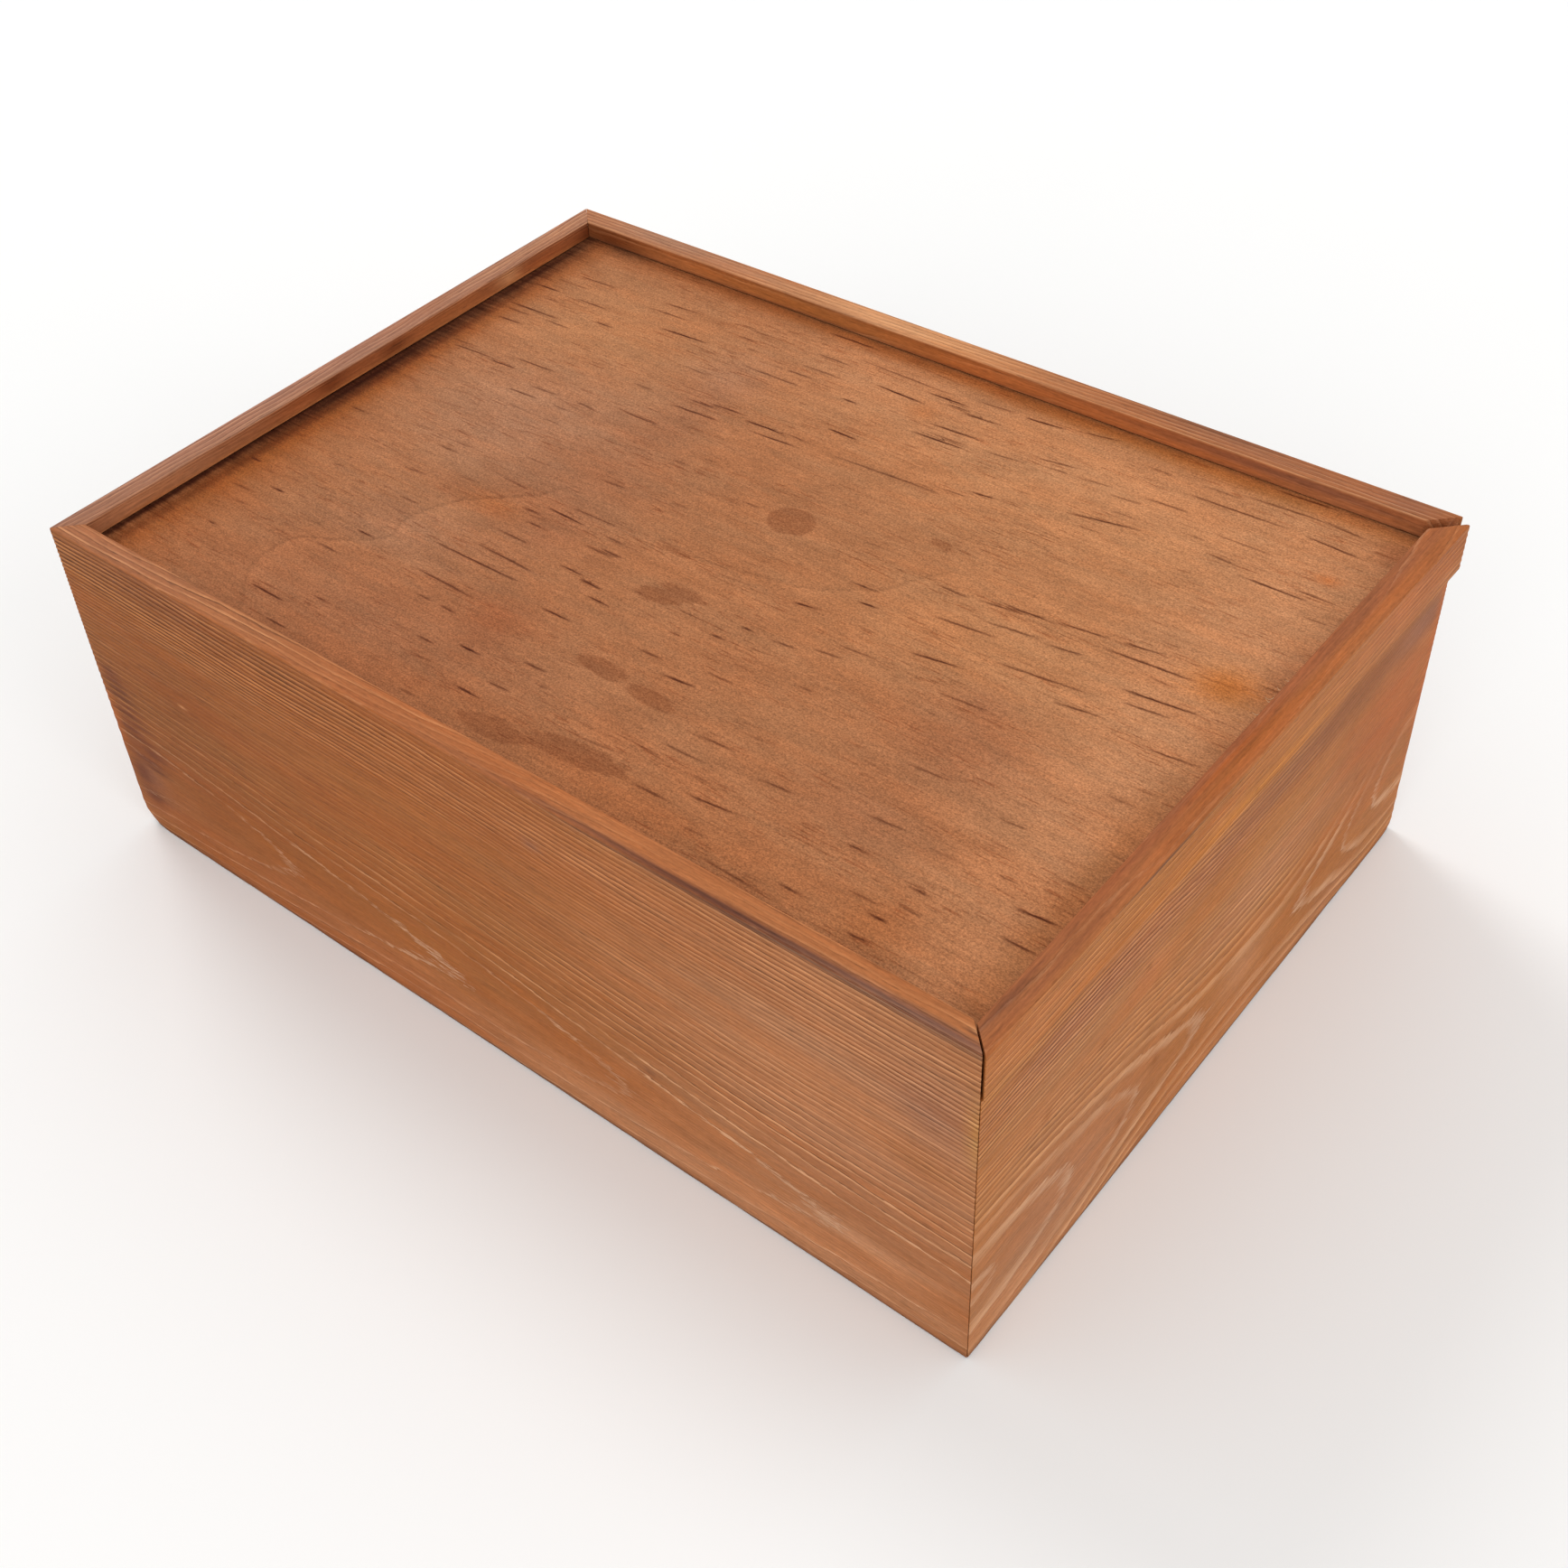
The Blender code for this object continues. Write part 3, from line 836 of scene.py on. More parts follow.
# Open pores in the lid's veneer, in millimetres: (x, y, length, rise along it, darkness)
PORES = [
    (-90.5, 83.2, 20, 1.2, 1.0), (-154, 81, 12, 0.4, 0.8), (-133, 81.3, 14, 0.2, 0.7),
    (-148, 66.2, 24, 0.8, 0.8), (-152, 62.5, 12, 0.3, 0.5), (-133.5, 63.8, 11, 0.2, 0.6),
    (-150, 56.3, 11, 0.5, 0.7), (-121, 39.2, 18, 1.0, 0.7), (-152, 36, 12, 0.6, 0.4),
    (-147, 33.5, 16, 0.9, 0.7), (-131.5, 33.2, 13, 0.8, 0.8), (-103.5, 97.2, 16, 1.5, 0.6),
    (-104, 91.5, 17, 0.9, 0.6), (-141, 94.4, 17, 0.8, 0.5), (-148, 88.1, 14, 0.6, 0.4),
    (-120, 72.8, 9, 0.4, 0.7), (-71, 67.8, 10, 0.2, 0.4), (-69, 34.7, 16, 0.2, 0.7),
    (-56, 47.5, 19, 1.0, 0.8), (-30, 53.9, 16, 0.9, 1.0), (-20, 54.6, 9, 0.2, 0.8), (-57, 53, 12, 0.3, 0.7),
    (-48, 55.2, 14, 1.0, 0.7), (-24, 50, 17, 1.1, 0.8), (-6, 95, 20, -0.5, 1.0),
    (-10, 104.6, 40, -0.8, 0.5), (-38.5, 113.5, 19, 0.2, 0.9), (-37.5, 100, 13, 0.1, 0.6),
    (-35.5, 91.5, 17, 0.1, 0.5), (-41, 86, 12, 0.3, 0.6), (-48, 79.8, 25, 0.4, 0.6),
    (-17.5, 82.2, 7, 0.1, 0.8), (-7, 65, 12, 0, 1.0), (-89, 29.8, 8, 0.1, 0.6), (-107, 28.9, 12, 0.7, 0.5),
    (-112.5, 23.4, 13, 0.8, 0.7), (-62, -25, 6, 0.1, 0.7), (-51, -20.9, 16, -0.5, 0.9),
    (-44, -16, 18, 0.2, 0.5), (-76, -16.8, 11, -0.5, 0.5), (-56, -29.8, 8, 0.1, 0.7),
    (-57, -38.2, 13, 0, 0.6), (-52, -47.6, 24, -0.7, 0.7), (-58, -54.2, 36, 0.3, 0.8),
    (-58, -67.4, 26, -0.6, 0.7), (-30.5, -40.4, 9, 0, 0.8), (-21.5, -42.2, 9, -0.1, 0.9),
    (-14, -47, 8, 0, 0.9), (-20, -59, 10, 0.1, 0.9), (-26.5, -27, 8, 0, 0.8), (-30.5, -28.5, 10, 0, 0.6),
    (-30, -21.5, 9, 0, 0.5), (-158, -56.5, 5, 0.2, 0.8), (-138, -64, 6, 0.1, 0.9), (-97, -64, 7, 0, 0.9),
    (-100.5, -76, 9, 0, 0.6), (-99.5, -102.3, 15, -0.2, 0.9), (-86, -110.7, 10, 0, 0.7),
    (-58.5, -76, 5, 0, 0.6), (-48, -76, 6, 0, 0.7), (-30, -85.7, 8, 0, 1.0), (-43, -90, 7, 0, 0.7),
    (-11, -92.7, 10, 0.4, 0.7), (-17, -99.5, 9, 0, 0.9), (-8.5, -80.3, 9, 0.3, 0.7),
    (-83.5, -95, 6, -0.1, 0.6), (-142.5, -88.5, 5, 0.1, 0.7), (9, 101.3, 15, 0.3, 0.9),
    (15, 99, 9, 0.2, 0.6), (24.5, 97.7, 13, 0.7, 0.8), (25.5, 106.5, 13, 0.9, 0.5),
    (43, 107.2, 15, 1.6, 0.9), (62, 110.8, 13, 2.4, 0.6), (22, 86.8, 20, 1.0, 0.8),
    (22.5, 82, 13, 0.2, 0.5), (20, 79.6, 20, 0.9, 0.9), (43, 83.7, 14, 1.6, 0.5), (58, 90.2, 15, 2.4, 0.6),
    (61, 87, 11, 1.0, 0.5), (72.5, 88, 12, 1.0, 0.5), (86, 85.5, 10, 1.0, 0.5), (98, 90, 15, 0.8, 0.5),
    (116, 99.3, 33, 1.1, 0.7), (148, 99, 18, -1.0, 0.8), (108, 105.5, 13, 0.2, 0.4),
    (130, 108.6, 30, 1.6, 0.6), (147, 108.5, 13, -1.0, 0.6), (130, 116.2, 19, 0.5, 0.7),
    (87, 72, 22, 4.6, 0.8), (49, 62.5, 8, 0.9, 0.9), (18, 54.6, 40, 2.2, 0.6), (40, 58.5, 12, 1.0, 0.5),
    (124.5, 75.3, 9, -0.3, 0.6), (143.5, 71.5, 21, 0.3, 0.8), (154.5, 74.7, 13, -0.2, 0.6),
    (126, 85.3, 20, 0.1, 0.4), (93, 21.3, 16, 1.1, 0.8), (109.5, 23.8, 17, 2.3, 0.7),
    (127, 26.5, 13, 2.0, 0.7), (84.5, 19.2, 13, 1.5, 0.6), (132, 21.3, 28, 2.1, 0.8),
    (69, 17.3, 9, 0.1, 0.6), (92.5, 12.2, 17, 2.5, 0.6), (110, 13.4, 10, 1.6, 0.7),
    (142.5, 9.3, 23, 2.7, 0.9), (141, 4.2, 14, 1.7, 0.7), (81, 5.6, 20, 2.2, 0.7),
    (110, -0.8, 28, 3.4, 0.6), (126, -6.3, 12, 2.0, 0.7), (156, -8.3, 14, 1.3, 0.7),
    (82.5, -11.5, 15, 2.5, 0.9), (37, -13.2, 8, 1.5, 0.9), (52, -2.3, 6, 0.5, 1.0), (46, 4, 6, 0.2, 0.8),
    (62.5, -21.4, 11, 0.9, 0.5), (56, -27, 8, 1.0, 0.6), (30.5, -31.5, 5, 0.1, 0.9),
    (44, -30.8, 8, 0.7, 0.6), (25.5, -39.3, 5, 0.1, 0.8), (99, -21.7, 16, 1.5, 0.5),
    (15.5, -56.5, 9, 0.5, 0.6), (29, -60.8, 10, 1.0, 0.9), (38, -53, 10, 0.4, 0.5),
    (107, -50.5, 14, 1.0, 0.5), (50, -83, 14, 0.5, 0.5), (79, -78.5, 11, 0.8, 0.6),
    (109.5, -72.5, 10, 1.0, 0.6), (108.5, -84.5, 6, 0.1, 0.7), (68, -94, 14, 1.5, 0.8),
    (52.5, -100, 13, 0.4, 0.6), (159, -77.4, 12, 1.2, 0.9), (160, -88, 10, 0, 0.8), (131, -87.5, 6, 0, 0.7),
    (128, -100.8, 6, 0, 0.9), (127, -109, 6, 0.1, 0.8), (120.5, -97.3, 9, 0.2, 0.5),
    (104, -106, 8, 0.1, 0.7), (88, -110.9, 20, -0.6, 0.5), (133, -94.3, 6, 0, 0.5),
    (55, -74.7, 10, 0.6, 0.6),
]

# Marks that water left on the lid, in millimetres: (x, y, half width, half height, turn in degrees)
WATER_MARKS = [
    (8.5, 17.5, 8.0, 6.8, 0), (53.0, 34.0, 4.5, 2.0, -8), (4.0, -29.5, 8.5, 2.6, 0),
    (-1.0, -34.5, 8.0, 3.2, 8), (7.5, -69.2, 9.5, 3.4, 0), (27.5, -71.2, 9.0, 3.0, -4),
    (26.0, -100.5, 17.0, 4.2, 6), (0.0, -106.5, 12.0, 3.8, 4), (-11.0, -15.0, 6.5, 1.2, 0),
]

# The edge of a bare patch in the veneer's figure, in millimetres: (x, y, how plainly it shows)
FIGURE_EDGE = [
    (-98, -114, 0.6), (-106, -106, 0.7), (-114, -96, 0.9), (-115.5, -86, 1), (-113, -77.5, 1),
    (-103, -72, 1.2), (-94, -66, 1.1), (-89.5, -60, 0.9), (-91.8, -52, 0.9), (-89.5, -42, 1),
    (-84, -33, 1.2), (-75, -25.5, 1.2), (-66, -17, 1.2), (-60, -8, 0.5), (-48, -4.5, 0.2), (-32, -6.5, 0.2),
    (-18, -12.5, 0.5), (-6, -14.5, 0.8), (8, -12, 0.8), (22, -9, 0.8), (34, -6, 0.8), (44, 0.5, 0.9),
    (52, 6, 0.9), (56, 14, 0.9), (61, 22, 0.8), (69, 27, 0.6), (76, 29, 0.2),
]

# Patches of colour on the lid, in millimetres: (x, y, run, breadth, tone, strength)
LID_WASHES = [
    (-130, -40, 55, 90, "tan", 0.8), (-60, -100, 80, 40, "clay", 0.8), (80, 80, 90, 45, "sand", 0.95),
    (95, 5, 60, 32, "sand", 0.8), (-95, 15, 50, 40, "dusty", 0.6), (-15, 20, 55, 32, "tan", 0.5),
    (-58, -10, 26, 40, "clay", 0.6), (112, -38, 26, 20, "clay", 0.7), (30, -108, 120, 12, "copper", 0.4),
    (-33, -72, 11, 12, "chestnut", 0.6), (-116, 72, 40, 30, "sand", 0.6), (60, -60, 50, 20, "tan", 0.5),
    # Painted light: the peach wash at (150, -20) in the next line lightens the lid beside the rail, where the
    # rail's lip shades it
    (-15, 100, 45, 28, "peach", 0.5), (150, -20, 25, 100, "peach", 0.55), (-90, -55, 25, 12, "dusty", 0.3),
    (164, 106, 5, 9, "chestnut", 0.7), (164, 38, 5, 10, "chestnut", 0.6), (163, -60, 5, 60, "nutmeg", 0.4),
    (7, 90, 6, 5, "ginger", 0.6), (128, -104, 12, 12, "copper", 0.6), (100, 114, 75, 4, "gold", 0.4),
    (105, -75, 22, 12, "clay", 0.5), (105, -20, 9, 7, "clay", 0.5), (-56, 45, 9, 30, "clay", 0.5),
    (150, 60, 25, 60, "peach", 0.5), (80, 90, 55, 26, "peach", 0.4), (-60, 70, 14, 14, "dusty", 0.4),
    # Painted shade: the burnt band at y 115, which ends the next line, and the mahogany line at y 120 after
    # it paint the far wall's shadow on the lid and the dark gap under its lip
    (-50, -30, 8, 12, "clay", 0.5), (-75, -29, 12, 5, "copper", 0.7), (0, 115, 180, 4.5, "burnt", 0.7),
    # Painted shade: from the burnt wash at x -156 on, the washes down to x -167 paint the closed end wall's
    # shadow on the lid, darker towards the wall, and the umber at (-150, 119) the shade in its far corner
    (0, 120, 190, 1.6, "mahogany", 0.8), (-156, -60, 16, 75, "burnt", 0.5),
    (-157, 0, 5.5, 170, "burnt", 0.7), (-160.5, 0, 2.6, 170, "mahogany", 0.7),
    (-165.8, -90, 1.6, 60, "painted_shadow", 0.9), (-164.2, 0, 3.0, 65, "painted_shadow", 0.95),
    (-164.6, 85, 2.4, 50, "painted_shadow", 0.9), (-167, 0, 1.6, 170, "painted_shadow", 0.9), (-150, 119, 14, 5, "umber", 0.6),
    (153.5, 25, 9, 8, "gold", 0.55), (153, 25, 8, 8, "orange", 0.4), (154, 83.5, 4, 2.5, "orange", 0.6),
]

# Patches of colour on the bottom, in the same form
BOTTOM_WASHES = [(-80, 40, 60, 50, "sand", 0.6), (90, -30, 60, 50, "dusty", 0.6)]


def pore_field(x, y, pores, row, station):
    """For each point, the height over the nearest pore's line and how dark the pore is there.

    A pore is a straight stroke that rises evenly. Its darkness falls off as the square root of
    1 minus the square of the share along it, and the height holds for some rows either side and
    a station and a half past its ends, so that it is exact wherever the darkness isn't nothing.
    """
    offset, darkness = np.full(x.shape, FAR_FROM_PORES), np.zeros(x.shape)
    for centre_x, centre_y, length, rise, dark in pores:
        share = (x - centre_x) / (length / 2)
        over = y - centre_y - rise / 2 * share
        past = 1 + 3 * station / length
        near = (np.abs(share) < past) & (np.abs(over) < 4 * row) & (np.abs(over) < np.abs(offset))
        taper = np.sqrt(np.clip(1 - share**2, 0, 1)) * dark
        offset = np.where(near, over, offset)
        darkness = np.where(near, taper * (np.abs(over) < 2.2 * row), darkness)
    return offset, darkness


def scattered_pores(seed, count, low, high, drawn=()):
    """Short, fainter pores strewn in clusters over the veneer, in metres.

    A pore that would lie beside another one is left out, because their lines would run together.
    """
    rng = np.random.default_rng(seed)
    clusters = rng.uniform(low, high, (count // PORES_PER_CLUSTER, 2))
    centres = clusters[rng.integers(0, len(clusters), count)] + rng.normal(0, 1, (count, 2)) * CLUSTER_SPREAD
    lengths = rng.uniform(*STREWN_LENGTHS, count) * MM
    rises = lengths * rng.normal(*STREWN_RISE, count)
    darkness = rng.uniform(*STREWN_DARKNESS, count)
    along, across = PORE_CLEARANCE
    pores = list(drawn)
    for pore in np.column_stack([centres, lengths, rises, darkness]).tolist():
        beside = (
            abs(pore[0] - x) < (pore[2] + length) / 2 + along and abs(pore[1] - y) < across
            for x, y, length, _, _ in pores
        )
        if not any(beside):
            pores.append(pore)
    return pores


def mark_field(x, y):
    """Distance outside the nearest water mark, negative inside: an ellipse's level times its height."""
    edge = np.full(x.shape, FAR_FROM_MARKS)
    for centre_x, centre_y, half_width, half_height, turn in WATER_MARKS:
        cos, sin = math.cos(math.radians(turn)), math.sin(math.radians(turn))
        dx, dy = x - centre_x * MM, y - centre_y * MM
        level = np.hypot((dx * cos + dy * sin) / half_width, (dy * cos - dx * sin) / half_height) / MM
        edge = np.minimum(edge, (level - 1) * half_height * MM)
    return edge


def figure_field(x, y):
    """Signed distance to the edge of the veneer's figure, positive on its lower right, and how
    plainly it shows there.

    The edge is a smooth curve through its points, cut into short steps. The nearest step gives the
    distance, and the side comes from the cross product with the step's direction.
    """
    edge = np.array(FIGURE_EDGE) * (MM, MM, 1)
    reach = np.arange(len(edge))
    fine = np.linspace(0, len(edge) - 1, FIGURE_CUTS * len(edge))
    curve = np.column_stack([through(fine, reach, edge[:, k]) for k in range(3)])
    direction = np.gradient(curve, axis=0)
    best, side, strength = np.full(x.shape, np.inf), np.zeros(x.shape), np.zeros(x.shape)
    for (cx, cy, plain), (tx, ty, _) in zip(curve, direction):
        distance = np.hypot(x - cx, y - cy)
        closer = distance < best
        best = np.where(closer, distance, best)
        side = np.where(closer, (x - cx) * ty - (y - cy) * tx, side)
        strength = np.where(closer, plain, strength)
    return best * np.sign(side), strength


def veneered_panel(name, low, high, tone, washes, pores, step, station_step, pore_depth, figured):
    """A plywood panel with rounded edges, as an outline across it carried along X.

    Its top sinks a little in long, shallow waves and at its open pores.
    """
    corners = [(low.y, low.z), (high.y, low.z), (high.y, high.z), (low.y, high.z)]
    profile = outline(corners, [PLAIN_STEP, GROOVE_STEP, step, GROOVE_STEP], [PANEL_EDGE] * 4)
    length = high.x - low.x
    fine_start = np.linspace(0, 1, 30)[1:-1] * FINE_ENDS / length
    share = np.unique(np.concatenate([stations(length, station_step), fine_start]))[:, None]
    x = np.broadcast_to(low.x + length * share, (len(share), len(profile)))
    y, z = (np.broadcast_to(profile[None, :, k], x.shape) for k in range(2))
    top = eased(z, high.z - PANEL_TOP[0], high.z - PANEL_TOP[1])
    offset, darkness = pore_field(x, y, pores, step, station_step)
    sink = pore_depth * darkness * np.exp(-((offset / PORE_HALF_WIDTH) ** 2))
    sink = sink + VENEER_WAVE_DEPTH * (1 + wander(VENEER_SWELL, x, y)).clip(0, 2) / 2
    colour = stained(tone, mm_washes("face", washes), x, y, VENEER_STAIN_SEED)
    colour = colour * (1 + wander(VENEER_CLOUDS, x, y) + wander(VENEER_STREAKS, x, y))[..., None]
    mark, figure, plain = np.full((3, *x.shape), FAR_FROM_MARKS)
    if figured:
        mark, (figure, plain) = mark_field(x, y), figure_field(x, y)
    attributes = {
        "place": np.stack([x, y, z], -1),
        "stain": np.concatenate([colour, np.ones(x.shape + (1,))], -1),
        "pore_offset": offset / MM,
        "pore_darkness": darkness * top,
        "mark_edge": mark / MM,
        "figure_edge": figure / MM,
        "figure_strength": plain,
    }
    return carried(name, np.stack([x, y, z - sink * top], -1), attributes)


# Materials


MATH, RANGE, MIX = "ShaderNodeMath", "ShaderNodeMapRange", "ShaderNodeMix"
VECTOR, NOISE, ATTRIBUTE = "ShaderNodeVectorMath", "ShaderNodeTexNoise", "ShaderNodeAttribute"


def add(tree, kind, sockets=(), output=0, **settings):
    """Adds a node with its settings and links, and returns one of its outputs.

    sockets holds values and other nodes' outputs, as a tuple in the sockets' own order or as a
    dict by their numbers or names.
    """
    node = tree.nodes.new(kind)
    for setting, value in settings.items():
        setattr(node, setting, value)
    for socket, value in (sockets if isinstance(sockets, dict) else dict(enumerate(sockets))).items():
        if isinstance(value, bpy.types.NodeSocket):
            tree.links.new(value, node.inputs[socket])
        else:
            node.inputs[socket].default_value = value
    return node.outputs[output]


def new_material(name):
    """A material with its tree and its Principled shader, which is linked to the output."""
    material = bpy.data.materials.new(name)
    material.use_nodes = True
    return material, material.node_tree, material.node_tree.nodes["Principled BSDF"]


def four(rgb):
    return (*rgb, 1.0)


def wood_inputs(tree, fields, patterns):
    """What a wood's looks are made from, by name: the fields that its mesh holds, and patterns of
    noise drawn out along the grain, from (name, length and width of its streaks in millimetres,
    detail, roughness)."""
    place = add(tree, ATTRIBUTE, output="Vector", attribute_name="place")
    wood = {"stain": add(tree, ATTRIBUTE, output="Color", attribute_name="stain")}
    for field in fields:
        wood[field] = add(tree, ATTRIBUTE, output="Fac", attribute_name=field)
    for name, run, breadth, detail, roughness in patterns:
        scale = (1 / run / MM, 1 / breadth / MM, 1 / breadth / MM)
        drawn_out = add(tree, VECTOR, (place, scale), operation="MULTIPLY")
        sockets = {"Vector": drawn_out, "Scale": 1.0, "Detail": detail, "Roughness": roughness}
        wood[name] = add(tree, NOISE, sockets)
    return wood


def stained_body(tree, wood, tone, redder, yellower):
    """The mesh's stain, turned redder or yellower from band to band, times the tone."""
    turned = add(tree, RANGE, (wood["hue"], 0.38, 0.62, 0.0, 1.0))
    hue = add(tree, MIX, {0: turned, 6: four(redder), 7: four(yellower)}, 2, data_type="RGBA")
    body = add(tree, VECTOR, (wood["stain"], hue), operation="MULTIPLY")
    return add(tree, VECTOR, {0: body, 3: tone}, operation="SCALE")


def finished(tree, shader, colour, height, relief):
    """Links the colour and a bump that is as deep as the relief where the height is 1."""
    bump = add(tree, "ShaderNodeBump", {"Strength": 1.0, "Distance": relief, "Height": height})
    tree.links.new(colour, shader.inputs["Base Color"])
    tree.links.new(bump, shader.inputs["Normal"])


def softwood_material(colours):
    """Stained pine, wire-brushed: the brush wears the soft early wood down, and the hard late wood
    stands up in thin, paler lines with a shadow below each, crowded into V shapes where the saw met
    the rings flat."""
    material, tree, shader = new_material("stained_brushed_pine")
    # A real fibre is 0.03 mm thick, and bundles of them are drawn 0.5 mm wide so that they show
    wood = wood_inputs(tree, ("ring", "late_share", "shade_share", "line_weight"), [
        ("teeth", 12, 1.1, 3, 0.65),
        ("fibres", 16, 0.5, 3, 0.75),
        ("flecks", 2.2, 0.6, 2, 0.6),
        ("dashes", 6, 0.7, 1, 0.5),
        ("patches", 45, 4, 2, 0.5),
        ("grime", 40, 6, 4, 0.65),
        ("hue", 90, 12, 3, 0.55),
    ])
    fibres = wood["fibres"]
    # Late wood ends in ragged teeth along the fibres
    narrow = add(tree, RANGE, (wood["shade_share"], 0.01, 0.1, 0.0, 1.0))
    torn = add(tree, RANGE, (narrow, 0.0, 1.0, 0.6, 0.32))
    rings = add(tree, MATH, (wood["teeth"], torn, wood["ring"]), operation="MULTIPLY_ADD")
    phase = add(tree, MATH, (rings,), operation="FRACT")
    left = add(tree, MATH, (1.0, phase), operation="SUBTRACT")
    before = add(tree, MATH, (left, wood["late_share"]), operation="DIVIDE")
    inner_edge = add(tree, RANGE, (before, 0.55, 1.5, 1.0, 0.0))
    outer_edge = add(tree, RANGE, (before, 0.0, 0.15, 0.0, 1.0))
    late = add(tree, MATH, (inner_edge, outer_edge), operation="MULTIPLY")
    # Each ring stands out by its own chance, and less in some patches
    number = add(tree, MATH, (rings,), operation="FLOOR")
    chance = add(tree, "ShaderNodeTexWhiteNoise", {"W": number}, noise_dimensions="1D")
    standing = wood["line_weight"]
    for pattern, limits in ((chance, (0.0, 1.0, 0.75, 1.3)), (wood["patches"], (0.38, 0.6, 0.5, 1.15))):
        part = add(tree, RANGE, (pattern, *limits))
        standing = add(tree, MATH, (standing, part), operation="MULTIPLY")
    frayed = add(tree, RANGE, (fibres, 0.34, 0.58, 0.45, 1.1))
    pale = add(tree, MATH, (late, standing), operation="MULTIPLY")
    pale = add(tree, MATH, (pale, frayed), operation="MULTIPLY", use_clamp=True)
    # The shadow beside a line is as wide as the brushed step, and fades where rings are wide
    after = add(tree, MATH, (phase, wood["shade_share"]), operation="DIVIDE")
    shadow = add(tree, RANGE, (after, 0.2, 1.4, 1.0, 0.0))
    for part in (standing, narrow):
        shadow = add(tree, MATH, (shadow, part), operation="MULTIPLY")
    dashes = add(tree, RANGE, (wood["dashes"], 0.62, 0.76, 0.0, 1.0))
    dashes = add(tree, MATH, (dashes, narrow), operation="MULTIPLY")
    shadow = add(tree, MATH, (dashes, 0.5, shadow), operation="MULTIPLY_ADD", use_clamp=True)
    tone = add(tree, RANGE, (fibres, 0.32, 0.68, 0.82, 1.18))
    for pattern, spread in (("grime", 0.06), ("flecks", 0.1)):
        part = add(tree, RANGE, (wood[pattern], 0.32, 0.68, 1 - spread, 1 + spread))
        tone = add(tree, MATH, (tone, part), operation="MULTIPLY")
    # Painted shade: the shadow darkens the colour by up to a half
    dimmed = add(tree, MATH, (shadow, -0.5, 1.0), operation="MULTIPLY_ADD")
    tone = add(tree, MATH, (tone, dimmed), operation="MULTIPLY")
    body = stained_body(tree, wood, tone, (1.03, 0.96, 0.88), (0.98, 1.03, 1.12))
    # The stain barely took on the hard lines: they are a lighter stain, or the bare wood's tint
    ruddy = add(tree, VECTOR, (wood["stain"], (1.62, 1.82, 2.0)), operation="MULTIPLY")
    dusty, peach = four(linear(colours.wide_line)), four(linear(colours.pale_line))
    tint = add(tree, MIX, {0: narrow, 6: dusty, 7: peach}, 2, data_type="RGBA")
    own_tint = add(tree, RANGE, (narrow, 0.0, 1.0, 0.8, 0.15))
    lifted = add(tree, MIX, {0: own_tint, 6: ruddy, 7: tint}, 2, data_type="RGBA")
    colour = add(tree, MIX, {0: pale, 6: body, 7: lifted}, 2, data_type="RGBA")
    rough = add(tree, RANGE, (fibres, 0.2, 0.8, 0.64, 0.52))
    tree.links.new(rough, shader.inputs["Roughness"])
    ridge = add(tree, MATH, (pale, shadow), operation="SUBTRACT")
    height = add(tree, MATH, (fibres, 0.5, ridge), operation="MULTIPLY_ADD")
    finished(tree, shader, colour, height, 0.12 * MM)
    shader.inputs["Specular IOR Level"].default_value = 0.12
    return material


